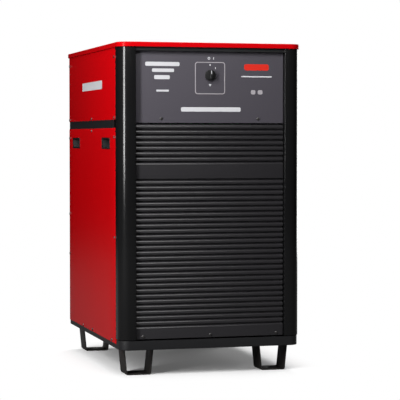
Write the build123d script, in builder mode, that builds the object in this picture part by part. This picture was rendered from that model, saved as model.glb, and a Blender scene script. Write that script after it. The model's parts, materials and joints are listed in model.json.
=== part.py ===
from build123d import *
from math import sqrt
import os

os.makedirs("parts", exist_ok=True)

# A floor-standing cabinet for a plasma cutter's power source.
# Millimetres. +Z is up, the front faces -Y, and the origin is on the floor at the middle of the cabinet.
# "Left" and "right" are as seen from the front.

# ---- Driving dimensions ----
body_width = 600.0            # over the side panels
body_depth = 820.0            # front face of the posts to the rear edge of the side panels
cabinet_height = 976.0        # underside of the base tray to the top of the lid
foot_height = 86.0            # floor to the underside of the base tray

# Sheet metal
sheet = 1.5                   # side panels, front and rear panels
lid_sheet = 2.0
frame_sheet = 2.5             # base tray, shelf, rails and rear posts
skin_gap = 0.5                # between a skin and the frame member behind it
panel_gap = 0.5               # between neighbouring edges in one plane

# Lid
lid_overhang = 4.0
lid_lip = 15.0

# Base tray
tray_wall_height = 30.0
tray_inset = 2.0              # behind the faces of the posts and the side panels

# Front posts
post_width = 53.0             # along the front
post_depth = 62.0             # along the side
post_radius = 34.0
post_wall = 3.0
post_ledge = 34.0             # behind the front edge of the side panels
post_foot_gap = 2.0           # between the tray wall and the outside of the post
spigot_gap = 0.5              # between the post's spigot and the tray wall

# Rear posts
rear_post_leg = 40.0

# Levels of the front, measured down from the top of the lid
header_top_gap = 1.0
control_top_drop = 28.0       # lid top to the upper edge of the control panel
split_drop = 258.0            # lid top to the joint between the control panel and the louvred panel
split_gap = 4.0               # height of that joint
front_recess = 17.0           # control panel behind the faces of the posts
panel_return = 18.0           # turned-back edges of the front panels

# Side rails
rail_band = 26.0              # height that shows between the upper and the lower side panel
rail_cover = 14.0             # height hidden behind each panel edge
rail_depth = 20.0
side_panel_bottom = 15.0      # above the underside of the base tray

# Louvres
louvre_pitch = 17.2
louvre_height = 11.4          # one hood, top edge to lip
louvre_reach = 8.0            # how far a hood stands out of its sheet
louvre_margin = 1.0           # hood ends to the side edges of the panel
upper_louvres = 7
band_height = 51.0            # the wide plain hood between the two fields
louvre_top_margin = 1.0
louvre_bottom = 34.0          # lower edge of the panel, above the underside of the base tray
strip_min_height = 34.0       # plain strip under the lowest louvre
louvre_recess = 19.0          # louvre sheet behind the faces of the posts

# Pull cups in the lower side panels
cup_width = 115.0
cup_height = 30.0
cup_depth = 32.0
cup_wall = 2.0
cup_rim = 1.2                 # how far the rim stands proud of the panel
cup_rim_width = 3.0
cup_clearance = 0.5           # between the cup and its cut-out
cup_drop = 62.5               # joint level to the middle of the cup
cup_front_inset = 204.0       # front face to the middle of the front cup
cup_rear_inset = 130.0        # rear edge to the middle of the rear cup

# Feet: a bent strap, shaped like a trapezoid from the front
foot_strap = 4.0
foot_width = 80.0             # along the depth of the cabinet
foot_bottom = 82.0            # outside, at the floor
foot_top = 100.0              # outside, at the tray
foot_flange = 26.0
foot_bend = 6.0
foot_hole_r = 6.5
foot_side_inset = 74.0        # side panel to the middle of the foot
foot_front_inset = 97.0       # front face to the middle of the front foot
foot_rear_inset = 87.0        # rear edge to the middle of the rear foot
foot_bolt_r = 5.0
foot_bolt_clearance = 0.5
foot_bolt_inset = 11.0        # flange end to the bolt

# Panel screws
screw_head_r = 5.0
screw_head_height = 2.0
screw_r = 2.5
screw_clearance = 0.4
screw_length = 7.0

# Main switch
switch_level = 103.0          # lid top to the middle of the knob
label_width = 100.0
label_height = 103.0
label_drop = 9.0              # middle of the label below the middle of the knob
label_thickness = 0.8
label_radius = 9.0
knob_r = 17.5
knob_height = 19.0
knob_skirt_height = 7.0
knob_gap = 0.8                # between the knob and the label
grip_width = 11.0
shaft_r = 4.0
shaft_running_gap = 0.05
switch_block = (56.0, 62.0, 64.0)

# Rear connection recess
niche_width = 460.0
niche_height = 172.0
niche_depth = 56.0
niche_top_drop = 60.0         # lid top to the ceiling of the recess
niche_radius = 8.0
fitting_row = 62.0            # floor of the recess to the row of fittings
mains_bore_r = 11.0
torch_bore_r = 16.0
work_bore_r = 6.6
interface_bore_r = 12.0

# Coolant filler
cap_r = 22.0
cap_height = 16.0
neck_r = 17.0
neck_bore_r = 14.0
neck_running_gap = 0.06

# Fans
fan_middle_gap = 12.0         # between the two fan frames
fan_post_gap = 2.0            # fan frame to the rear post
fan_tank_gap = 92.5           # fan frame to the coolant tank above it
fan_depth = 62.0
fan_rim = 13.0                # fan frame outside its bore
fan_tip_gap = 3.0
fan_blades = 7
hub_r = 42.0
fan_shaft_r = 5.0
guard_wire = 2.0

# Inside
shelf_rear = 150.0            # rear edge of the shelf, behind the middle of the cabinet
core_limb = 60.0
core_window = (60.0, 150.0)
core_stack = 120.0
coil_build = 26.0
coil_gap = 1.0

# ---- Derived planes ----
half_width = body_width / 2
front_y = -body_depth / 2
rear_y = body_depth / 2
base_z = foot_height
top_z = base_z + cabinet_height
lid_under_z = top_z - lid_sheet
tray_x = half_width - tray_inset
tray_front_y = front_y + tray_inset
tray_rear_y = rear_y - sheet - skin_gap
tray_floor_z = base_z + frame_sheet
post_inner_x = half_width - post_width
post_rear_y = front_y + post_depth
post_bottom_z = base_z + tray_wall_height + post_foot_gap
ledge_rear_y = post_rear_y + post_ledge
panel_top_z = lid_under_z - sheet
split_z = top_z - split_drop
rail_low_z = split_z - rail_band / 2
rail_high_z = split_z + rail_band / 2
control_y = front_y + front_recess
louvre_y = front_y + louvre_recess
front_half = post_inner_x - panel_gap         # half width of the front panels
rear_skin_y = rear_y - sheet                  # inner face of the rear panels
foot_x = half_width - foot_side_inset
fan_size = tray_x - rear_post_leg - fan_post_gap - fan_middle_gap / 2
fan_bore_r = fan_size / 2 - fan_rim
fan_pitch_x = fan_size + fan_middle_gap
front_foot_y = front_y + foot_front_inset
rear_foot_y = rear_y - foot_rear_inset
screw_hole_r = screw_r + screw_clearance


# ---- Shared shapes ----
def block(x, y, z, mode=Mode.ADD):
    """A box that spans the (low, high) pairs x, y and z."""
    centre = ((x[0] + x[1]) / 2, (y[0] + y[1]) / 2, (z[0] + z[1]) / 2)
    with Locations(centre):
        Box(x[1] - x[0], y[1] - y[0], z[1] - z[0], mode=mode)


def drill_x(points, radius, x, depth=30.0):
    """Holes along X through whatever lies within depth of the plane at x."""
    for y, z in points:
        with Locations(Location((x, y, z), (0, 90, 0))):
            Cylinder(radius, depth, mode=Mode.SUBTRACT)


def drill_y(points, radius, y, depth=30.0):
    """Holes along Y through whatever lies within depth of the plane at y."""
    for x, z in points:
        with Locations(Location((x, y, z), (90, 0, 0))):
            Cylinder(radius, depth, mode=Mode.SUBTRACT)


def write(piece, name):
    """Label a finished piece and write its STEP file."""
    piece.part.label = name
    export_step(piece.part, f"parts/{name}.step")


# ---- Where the panel screws sit ----
def side_screws_upper():
    front = front_y + 80.0
    return [
        (front, top_z - 45.0),
        (front, rail_high_z + 6.5),
        (18.0, rail_high_z + 6.5),
        (rear_y - 10.0, top_z - 45.0),
        (rear_y - 10.0, rail_high_z + 6.5),
    ]


def side_screws_lower():
    front = front_y + 78.0
    rear = rear_y - 10.0
    low = base_z + 23.0
    return [
        (16.0, rail_low_z - 8.0),
        (front, rail_low_z - 30.0),
        (front, base_z + 355.0),
        (rear, rail_low_z - 32.0),
        (rear, base_z + 400.0),
        (rear, base_z + 257.0),
        (9.0, low),
        (166.0, low),
        (front + 40.0, low),
    ]


def control_screws():
    return [(side * 161.0, split_z + 16.5) for side in (-1, 1)]


def louvre_screws():
    return [(x, base_z + 42.0) for x in (-222.0, 0.0, 222.0)]


rear_screw_x = tray_x - rear_post_leg / 2
rear_split_z = split_z - 14.0


def rear_screws():
    levels = [top_z - 40.0, rear_split_z + 20.0, rear_split_z - 20.0, base_z + 380.0, base_z + 60.0]
    return [(side * rear_screw_x, z) for side in (-1, 1) for z in levels]


# ---- Base tray ----
tray_radius = post_radius - tray_inset
foot_centres = [
    ("front_left", -foot_x, front_foot_y),
    ("front_right", foot_x, front_foot_y),
    ("rear_left", -foot_x, rear_foot_y),
    ("rear_right", foot_x, rear_foot_y),
]
flange_bolt_x = foot_top / 2 - foot_strap - foot_flange + foot_bolt_inset
bolt_points = [
    (x + side * flange_bolt_x, y) for name, x, y in foot_centres for side in (-1, 1)
]
with BuildPart() as base_tray:
    with BuildSketch(Plane.XY.offset(base_z)) as tray_outline:
        with Locations((0, (tray_front_y + tray_rear_y) / 2)):
            Rectangle(2 * tray_x, tray_rear_y - tray_front_y)
        fillet(tray_outline.vertices().group_by(Axis.Y)[0], tray_radius)
    extrude(amount=tray_wall_height)
    opening_face = base_tray.faces().sort_by(Axis.Z)[-1]
    offset(amount=-frame_sheet, openings=opening_face)
    with BuildSketch(Plane.XY.offset(base_z)):
        with Locations((0, 40.0)):
            with GridLocations(110.0, 18.0, 3, 8):
                SlotOverall(90.0, 8.0)
    extrude(amount=frame_sheet, mode=Mode.SUBTRACT)
    with BuildSketch(Plane.XY.offset(base_z)):
        with Locations(*bolt_points):
            Circle(foot_bolt_r + foot_bolt_clearance)
    extrude(amount=frame_sheet, mode=Mode.SUBTRACT)
    low_screws = [point for point in side_screws_lower() if point[1] < base_z + tray_wall_height]
    for side in (-1, 1):
        drill_x(low_screws, screw_hole_r, side * tray_x, 12.0)
write(base_tray, "base_tray")


# ---- Feet ----
def foot_profile():
    """Centre line of the strap: flange, leg, floor flat, leg, flange."""
    low = foot_strap / 2
    high = foot_height - foot_strap / 2
    top = foot_top / 2 - foot_strap / 2
    bottom = foot_bottom / 2 - foot_strap / 2
    inner = top - foot_flange
    return [(-inner, high), (-top, high), (-bottom, low), (bottom, low), (top, high), (inner, high)]


for name, x, y in foot_centres:
    with BuildPart() as foot:
        foot_plane = Plane(origin=(x, y, 0), x_dir=(1, 0, 0), z_dir=(0, -1, 0))
        with BuildSketch(foot_plane):
            with BuildLine():
                FilletPolyline(*foot_profile(), radius=foot_bend)
            trace(line_width=foot_strap)
        extrude(amount=foot_width / 2, both=True)
        with BuildSketch(Plane.XY):
            with Locations((x, y)):
                Circle(foot_hole_r)
        extrude(amount=2 * foot_strap, mode=Mode.SUBTRACT)
        with BuildSketch(Plane.XY.offset(foot_height - 2 * foot_strap)):
            with Locations((x - flange_bolt_x, y), (x + flange_bolt_x, y)):
                Circle(foot_bolt_r + foot_bolt_clearance)
        extrude(amount=2 * foot_strap, mode=Mode.SUBTRACT)
    write(foot, f"foot_{name}")

# ---- Foot bolts: hexagon bolts up through the flanges, each with a nut on the tray floor ----
bolt_hex_r = 9.0
bolt_head_height = 6.4
nut_height = 8.0
bolt_tip = 3.0
with BuildPart() as foot_bolts:
    flange_under_z = base_z - foot_strap
    with BuildSketch(Plane.XY.offset(flange_under_z - bolt_head_height)):
        with Locations(*bolt_points):
            RegularPolygon(bolt_hex_r, 6)
    extrude(amount=bolt_head_height)
    with BuildSketch(Plane.XY.offset(flange_under_z)):
        with Locations(*bolt_points):
            Circle(foot_bolt_r)
    extrude(amount=foot_strap + frame_sheet + nut_height + bolt_tip)
    with BuildSketch(Plane.XY.offset(tray_floor_z)):
        with Locations(*bolt_points):
            RegularPolygon(bolt_hex_r, 6)
    extrude(amount=nut_height)
write(foot_bolts, "foot_bolts")

# ---- Front posts: hollow extrusions with one large round corner ----
with BuildPart() as front_post_left:
    with BuildSketch(Plane.XY.offset(post_bottom_z)) as post_outline:
        with Locations((-half_width + post_width / 2, front_y + post_depth / 2)):
            Rectangle(post_width, post_depth)
        corner = post_outline.vertices().sort_by(lambda v: v.X + v.Y)[0]
        fillet(corner, post_radius)
        offset(amount=-post_wall, mode=Mode.SUBTRACT)
    extrude(amount=lid_under_z - post_bottom_z)
    # the spigot stands inside the tray and carries the post
    with BuildSketch(Plane.XY.offset(tray_floor_z)) as spigot_outline:
        spigot_x = -tray_x + frame_sheet + spigot_gap
        spigot_y = tray_front_y + frame_sheet + spigot_gap
        spigot_width = -post_inner_x - spigot_x
        spigot_depth = post_rear_y - spigot_y
        with Locations((spigot_x + spigot_width / 2, spigot_y + spigot_depth / 2)):
            Rectangle(spigot_width, spigot_depth)
        corner = spigot_outline.vertices().sort_by(lambda v: v.X + v.Y)[0]
        fillet(corner, tray_radius - frame_sheet - spigot_gap)
        offset(amount=-post_wall, mode=Mode.SUBTRACT)
    extrude(amount=post_bottom_z + 2 * post_wall - tray_floor_z)
    # the ledge behind the front edge of the side panels
    block((-tray_x, -tray_x + post_wall), (post_rear_y - post_wall, ledge_rear_y),
          (base_z + tray_wall_height, panel_top_z - sheet))
    drill_x([p for p in side_screws_upper() + side_screws_lower() if p[0] < ledge_rear_y],
            screw_hole_r, -half_width, 12.0)
write(front_post_left, "front_post_left")

with BuildPart() as front_post_right:
    mirror(front_post_left.part, about=Plane.YZ)
write(front_post_right, "front_post_right")

# ---- Rear posts: angles in the rear corners, welded to the top edge of the tray wall ----
rear_post_top_z = lid_under_z - 2 * sheet
rear_post_z = (base_z + tray_wall_height, rear_post_top_z)
with BuildPart() as rear_post_left:
    block((-tray_x, -tray_x + frame_sheet), (tray_rear_y - rear_post_leg, tray_rear_y), rear_post_z)
    block((-tray_x, -tray_x + rear_post_leg), (tray_rear_y - frame_sheet, tray_rear_y), rear_post_z)
    drill_x([p for p in side_screws_upper() + side_screws_lower() if p[0] > tray_rear_y - rear_post_leg],
            screw_hole_r, -tray_x, 8.0)
    drill_y([p for p in rear_screws() if p[0] < 0], screw_hole_r, tray_rear_y, 12.0)
write(rear_post_left, "rear_post_left")

with BuildPart() as rear_post_right:
    mirror(rear_post_left.part, about=Plane.YZ)
write(rear_post_right, "rear_post_right")

# ---- Side rails: channels between the front and rear posts ----
rail_z = (rail_low_z - rail_cover, rail_high_z + rail_cover)
rail_y = (ledge_rear_y, tray_rear_y - rear_post_leg)
with BuildPart() as side_rail_left:
    rail_x = (-tray_x, -tray_x + rail_depth)
    block(rail_x, rail_y, rail_z)
    block((rail_x[0] + frame_sheet, rail_x[1] + 1), rail_y,
          (rail_z[0] + frame_sheet, rail_z[1] - frame_sheet), mode=Mode.SUBTRACT)
    near_rail = [p for p in side_screws_upper() + side_screws_lower()
                 if rail_y[0] < p[0] < rail_y[1] and rail_z[0] < p[1] < rail_z[1]]
    drill_x(near_rail, screw_hole_r, -tray_x, 12.0)
write(side_rail_left, "side_rail_left")

with BuildPart() as side_rail_right:
    mirror(side_rail_left.part, about=Plane.YZ)
write(side_rail_right, "side_rail_right")

# ---- Front header: a channel between the tops of the front posts ----
header_recess = 4.0
header_depth = 34.0
header_z = (top_z - control_top_drop + panel_gap, lid_under_z - header_top_gap)
with BuildPart() as front_header:
    header_y = (front_y + header_recess, front_y + header_recess + header_depth)
    block((-front_half, front_half), header_y, header_z)
    block((-front_half - 1, front_half + 1), (header_y[0] + frame_sheet, header_y[1] + 1),
          (header_z[0] + frame_sheet, header_z[1] - frame_sheet), mode=Mode.SUBTRACT)
write(front_header, "front_header")

# ---- Shelf: a folded plate between the rails that carries the electronics ----
shelf_z = rail_z[0]
shelf_front_y = post_rear_y + 4.0
shelf_half = tray_x - rail_depth - skin_gap
shelf_return = 20.0
with BuildPart() as shelf:
    block((-shelf_half, shelf_half), (shelf_front_y, shelf_rear), (shelf_z, shelf_z + shelf_return))
    block((-shelf_half + frame_sheet, shelf_half - frame_sheet),
          (shelf_front_y + frame_sheet, shelf_rear - frame_sheet),
          (shelf_z + frame_sheet, shelf_z + shelf_return + 1), mode=Mode.SUBTRACT)
    with BuildSketch(Plane.XY.offset(shelf_z)):
        with Locations((0, (shelf_front_y + shelf_rear) / 2)):
            with GridLocations(120.0, 60.0, 4, 6):
                SlotOverall(80.0, 14.0)
    extrude(amount=frame_sheet, mode=Mode.SUBTRACT)
write(shelf, "shelf")

# ---- Lid: a shallow tray turned upside down ----
lid_edge_radius = 3.0
lid_rear_radius = 6.0
def lid_outline(inset):
    """Plan outline of the lid, drawn in by inset."""
    with BuildSketch() as outline:
        Rectangle(body_width + 2 * (lid_overhang - inset), body_depth + 2 * (lid_overhang - inset))
        fillet(outline.vertices().group_by(Axis.Y)[0], post_radius + lid_overhang - inset)
        fillet(outline.vertices().group_by(Axis.Y)[-1], lid_rear_radius - inset)
    return outline.sketch


with BuildPart() as lid:
    with BuildSketch(Plane.XY.offset(top_z - lid_lip)):
        add(lid_outline(0.0))
    extrude(amount=lid_lip)
    fillet(lid.faces().sort_by(Axis.Z)[-1].edges(), lid_edge_radius)
    with BuildSketch(Plane.XY.offset(top_z - lid_lip)):
        add(lid_outline(lid_sheet))
    extrude(amount=lid_lip - lid_sheet, mode=Mode.SUBTRACT)
write(lid, "lid")


# ---- Side panels ----
panel_y = (post_rear_y + panel_gap, rear_y)
top_return = 22.0
cup_z = split_z - cup_drop
cup_places = [("front", front_y + cup_front_inset), ("rear", rear_y - cup_rear_inset)]

with BuildPart() as side_panel_upper_left:
    block((-half_width, -half_width + sheet), panel_y, (rail_high_z, panel_top_z))
    block((-half_width, -half_width + top_return), panel_y, (panel_top_z - sheet, panel_top_z))
    outer_edge = side_panel_upper_left.edges().filter_by(Axis.Y).group_by(Axis.Z)[-1].sort_by(Axis.X)[0]
    fillet(outer_edge, sheet - 0.1)
    drill_x(side_screws_upper(), screw_hole_r, -half_width, 8.0)
write(side_panel_upper_left, "side_panel_upper_left")

with BuildPart() as side_panel_upper_right:
    mirror(side_panel_upper_left.part, about=Plane.YZ)
write(side_panel_upper_right, "side_panel_upper_right")

with BuildPart() as side_panel_lower_left:
    block((-half_width, -half_width + sheet), panel_y, (base_z + side_panel_bottom, rail_low_z))
    for place, y in cup_places:
        hole_y = cup_width / 2 + cup_clearance
        hole_z = cup_height / 2 + cup_clearance
        block((-half_width - 1, -half_width + sheet + 1), (y - hole_y, y + hole_y),
              (cup_z - hole_z, cup_z + hole_z), mode=Mode.SUBTRACT)
    drill_x(side_screws_lower(), screw_hole_r, -half_width, 8.0)
write(side_panel_lower_left, "side_panel_lower_left")

with BuildPart() as side_panel_lower_right:
    mirror(side_panel_lower_left.part, about=Plane.YZ)
write(side_panel_lower_right, "side_panel_lower_right")

# ---- Pull cups: moulded pockets with a rim on the panel ----
cup_lip = 9.0                 # behind the upper edge the pocket reaches up, for the fingertips
for place, y in cup_places:
    with BuildPart() as cup_left:
        outer_x = -half_width
        rim_y = cup_width / 2 + cup_rim_width
        rim_z = cup_height / 2 + cup_rim_width
        block((outer_x - cup_rim, outer_x), (y - rim_y, y + rim_y), (cup_z - rim_z, cup_z + rim_z))
        block((outer_x, outer_x + cup_depth), (y - cup_width / 2, y + cup_width / 2),
              (cup_z - cup_height / 2, cup_z + cup_height / 2))
        block((outer_x + sheet + 4.0, outer_x + cup_depth), (y - cup_width / 2, y + cup_width / 2),
              (cup_z, cup_z + cup_height / 2 + cup_lip))
        fillet(cup_left.edges().filter_by(Axis.X).group_by(Axis.X)[0], 2.0)
        block((outer_x - cup_rim - 1, outer_x + cup_depth - cup_wall),
              (y - cup_width / 2 + cup_wall, y + cup_width / 2 - cup_wall),
              (cup_z - cup_height / 2 + cup_wall, cup_z + cup_height / 2 - cup_wall), mode=Mode.SUBTRACT)
        block((outer_x + sheet + 4.0 + cup_wall, outer_x + cup_depth - cup_wall),
              (y - cup_width / 2 + cup_wall, y + cup_width / 2 - cup_wall),
              (cup_z, cup_z + cup_height / 2 + cup_lip - cup_wall), mode=Mode.SUBTRACT)
    write(cup_left, f"grip_cup_{place}_left")
    with BuildPart() as cup_right:
        mirror(cup_left.part, about=Plane.YZ)
    write(cup_right, f"grip_cup_{place}_right")

# ---- Control panel: a folded pan, its edges turned back ----
switch_z = top_z - switch_level
label_z = switch_z - label_drop
control_z = (split_z + split_gap / 2, top_z - control_top_drop)
label_hole_r = 10.0
with BuildPart() as control_panel:
    block((-front_half, front_half), (control_y, control_y + panel_return), control_z)
    block((-front_half + sheet, front_half - sheet), (control_y + sheet, control_y + panel_return + 1),
          (control_z[0] + sheet, control_z[1] - sheet), mode=Mode.SUBTRACT)
    drill_y([(0, switch_z)], label_hole_r, control_y, 8.0)
    drill_y(control_screws(), screw_hole_r, control_y, 8.0)
write(control_panel, "control_panel")


# ---- Louvred panel: one pressed sheet ----
def hood_heights():
    """(top level, height, whether its lower edge is open) of every hood, from the top down."""
    hoods = []
    z = split_z - split_gap / 2 - louvre_top_margin
    for count in range(upper_louvres):
        hoods.append((z, louvre_height, True))
        z -= louvre_pitch
    hoods.append((z, band_height, True))
    z -= band_height + louvre_pitch - louvre_height
    lowest = base_z + louvre_bottom + strip_min_height
    while z - louvre_pitch > lowest:
        hoods.append((z, louvre_height, True))
        z -= louvre_pitch
    hoods.append((z, z - (base_z + louvre_bottom), False))
    return hoods


def hood_outline(z_top, height, inset, back, floor):
    """Closed outline of a hood, X to the rear and Y up: a quarter round at the top, then straight down."""
    radius = louvre_reach - inset
    front = louvre_y - radius
    rear = louvre_y + back
    top = z_top - inset
    bottom = z_top - height + floor
    with BuildSketch() as outline:
        with BuildLine():
            Line((rear, top), (louvre_y, top))
            JernArc(start=(louvre_y, top), tangent=(-1, 0), radius=radius, arc_size=90)
            Polyline((front, top - radius), (front, bottom), (rear, bottom), (rear, top))
        make_face()
    return outline.sketch


louvre_z = (base_z + louvre_bottom, split_z - split_gap / 2)
hood_half = front_half - louvre_margin
with BuildPart() as louvre_panel:
    block((-front_half, front_half), (louvre_y, louvre_y + panel_return), louvre_z)
    block((-front_half + sheet, front_half - sheet), (louvre_y + sheet, louvre_y + panel_return + 1),
          (louvre_z[0] + sheet, louvre_z[1] - sheet), mode=Mode.SUBTRACT)
    with BuildSketch(Plane.YZ):
        for z_top, height, is_open in hood_heights():
            add(hood_outline(z_top, height, 0.0, sheet / 2, 0.0))
    extrude(amount=hood_half, both=True)
    with BuildSketch(Plane.YZ):
        for z_top, height, is_open in hood_heights():
            if is_open:
                add(hood_outline(z_top, height, sheet, sheet, 0.0))
            else:
                add(hood_outline(z_top, height, sheet, sheet, sheet))
    extrude(amount=hood_half - sheet, both=True, mode=Mode.SUBTRACT)
    drill_y(louvre_screws(), screw_hole_r, louvre_y - louvre_reach, 8.0)
write(louvre_panel, "louvre_panel")

# ---- Main switch ----
label_front_y = control_y - label_thickness
with BuildPart() as switch_label:
    with BuildSketch(Plane(origin=(0, control_y, label_z), x_dir=(1, 0, 0), z_dir=(0, -1, 0))):
        RectangleRounded(label_width, label_height, label_radius)
        with Locations((0, label_drop)):
            Circle(label_hole_r, mode=Mode.SUBTRACT)
    extrude(amount=label_thickness)
write(switch_label, "switch_label")

knob_back_y = label_front_y - knob_gap
shaft_grip = 16.0
with BuildPart() as switch_knob:
    with BuildSketch(Plane(origin=(0, knob_back_y, switch_z), x_dir=(1, 0, 0), z_dir=(0, -1, 0))):
        Circle(knob_r)
    extrude(amount=knob_skirt_height)
    chamfer(switch_knob.edges().group_by(Axis.Y)[0], 1.2)
    with BuildSketch(Plane(origin=(0, knob_back_y - knob_skirt_height, switch_z),
                           x_dir=(1, 0, 0), z_dir=(0, -1, 0))):
        SlotOverall(2 * knob_r - 3.0, grip_width, rotation=90)
    extrude(amount=knob_height - knob_skirt_height)
    fillet(switch_knob.faces().sort_by(Axis.Y)[0].edges(), 1.6)
    with Locations(Location((0, knob_back_y, switch_z), (90, 0, 0))):
        Cylinder(shaft_r, shaft_grip, align=(Align.CENTER, Align.CENTER, Align.MIN), mode=Mode.SUBTRACT)
write(switch_knob, "switch_knob")

block_front_y = control_y + sheet
block_rear_y = block_front_y + switch_block[1]
shaft_length = block_rear_y - 6.0 - (knob_back_y - shaft_grip)
with BuildPart() as switch_shaft:
    with Locations(Location((0, knob_back_y - shaft_grip, switch_z), (-90, 0, 0))):
        Cylinder(shaft_r, shaft_length, align=(Align.CENTER, Align.CENTER, Align.MIN))
write(switch_shaft, "switch_shaft")

with BuildPart() as switch_body:
    block((-switch_block[0] / 2, switch_block[0] / 2), (block_front_y, block_rear_y),
          (switch_z - switch_block[2] / 2, switch_z + switch_block[2] / 2))
    fillet(switch_body.edges().filter_by(Axis.Y), 6.0)
    with Locations(Location((0, block_front_y - 1.0, switch_z), (-90, 0, 0))):
        Cylinder(shaft_r + shaft_running_gap, switch_block[1] + 2.0,
                 align=(Align.CENTER, Align.CENTER, Align.MIN), mode=Mode.SUBTRACT)
    # terminal slots along both sides
    for side in (-1, 1):
        for step in range(3):
            with Locations((side * switch_block[0] / 2, block_front_y + 16.0 + 16.0 * step, switch_z)):
                Box(10.0, 8.0, 30.0, mode=Mode.SUBTRACT)
write(switch_body, "switch_body")

# ---- Rear panels ----
niche_top_z = top_z - niche_top_drop
niche_floor_z = niche_top_z - niche_height
niche_back_y = rear_y - niche_depth
fitting_z = niche_floor_z + fitting_row
mains_x = -185.0
torch_x = -115.0
work_x = -50.0
interface_x = 10.0
coolant_x = (62.0, 104.0)
air_x = 142.0
filler_x = 192.0
filler_y = niche_back_y + niche_depth / 2
thread_hole_r = {mains_x: 20.0, torch_x: 25.0, work_x: 15.0, interface_x: 15.0, air_x: 7.0}
thread_hole_r.update({x: 9.0 for x in coolant_x})
neck_hole_r = neck_r + 1.0
guard_screw = fan_size / 2 - fan_rim
tank_height = 200.0
tank_top_z = niche_floor_z - sheet - 5.0
fan_z = tank_top_z - tank_height - fan_tank_gap - fan_size / 2
fans = [("left", -fan_pitch_x / 2), ("right", fan_pitch_x / 2)]
fan_screws = [
    (x + side_x * guard_screw, fan_z + side_z * guard_screw)
    for name, x in fans for side_x in (-1, 1) for side_z in (-1, 1)
]
window_x = 180.0
window_width = 22.0
window_height = 116.0
window_drop = 78.0            # rear joint to the middle of the level window
window_gap = 0.3
window_z = rear_split_z - window_drop

rear_half = tray_x
rear_upper_z = (rear_split_z + panel_gap, panel_top_z - sheet - panel_gap)
with BuildPart() as rear_upper_panel:
    block((-rear_half, rear_half), (rear_skin_y, rear_y), rear_upper_z)
    block((-niche_width / 2 - sheet, niche_width / 2 + sheet), (niche_back_y - sheet, rear_y),
          (niche_floor_z - sheet, niche_top_z + sheet))
    block((-niche_width / 2, niche_width / 2), (niche_back_y, rear_y + 1),
          (niche_floor_z, niche_top_z), mode=Mode.SUBTRACT)
    for x, radius in thread_hole_r.items():
        drill_y([(x, fitting_z)], radius, niche_back_y, 8.0)
    with Locations((filler_x, filler_y, niche_floor_z)):
        Cylinder(neck_hole_r, 8.0, mode=Mode.SUBTRACT)
    drill_y([p for p in rear_screws() if p[1] > rear_split_z], screw_hole_r, rear_y, 8.0)
write(rear_upper_panel, "rear_upper_panel")

with BuildPart() as rear_lower_panel:
    block((-rear_half, rear_half), (rear_skin_y, rear_y),
          (base_z + side_panel_bottom, rear_split_z - panel_gap))
    drill_y([(x, fan_z) for name, x in fans], fan_bore_r, rear_y, 8.0)
    drill_y([p for p in rear_screws() if p[1] < rear_split_z] + fan_screws, screw_hole_r, rear_y, 8.0)
    with BuildSketch(Plane.XZ.offset(-rear_y)):
        with Locations((window_x, window_z)):
            SlotOverall(window_height + 2 * window_gap, window_width + 2 * window_gap, rotation=90)
    extrude(amount=10.0, mode=Mode.SUBTRACT)
    with BuildSketch(Plane.XZ.offset(-rear_y)):
        with Locations((0, base_z + 120.0), (0, rear_split_z - window_drop)):
            with GridLocations(60.0, 16.0, 4, 6):
                SlotOverall(46.0, 6.0)
    extrude(amount=10.0, mode=Mode.SUBTRACT)
write(rear_lower_panel, "rear_lower_panel")

with BuildPart() as level_window:
    with BuildSketch(Plane.XZ.offset(-(rear_skin_y - 3.0))):
        with Locations((window_x, window_z)):
            SlotOverall(window_height, window_width, rotation=90)
    extrude(amount=-(rear_y + 1.5 - (rear_skin_y - 3.0)))
write(level_window, "level_window")


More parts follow.
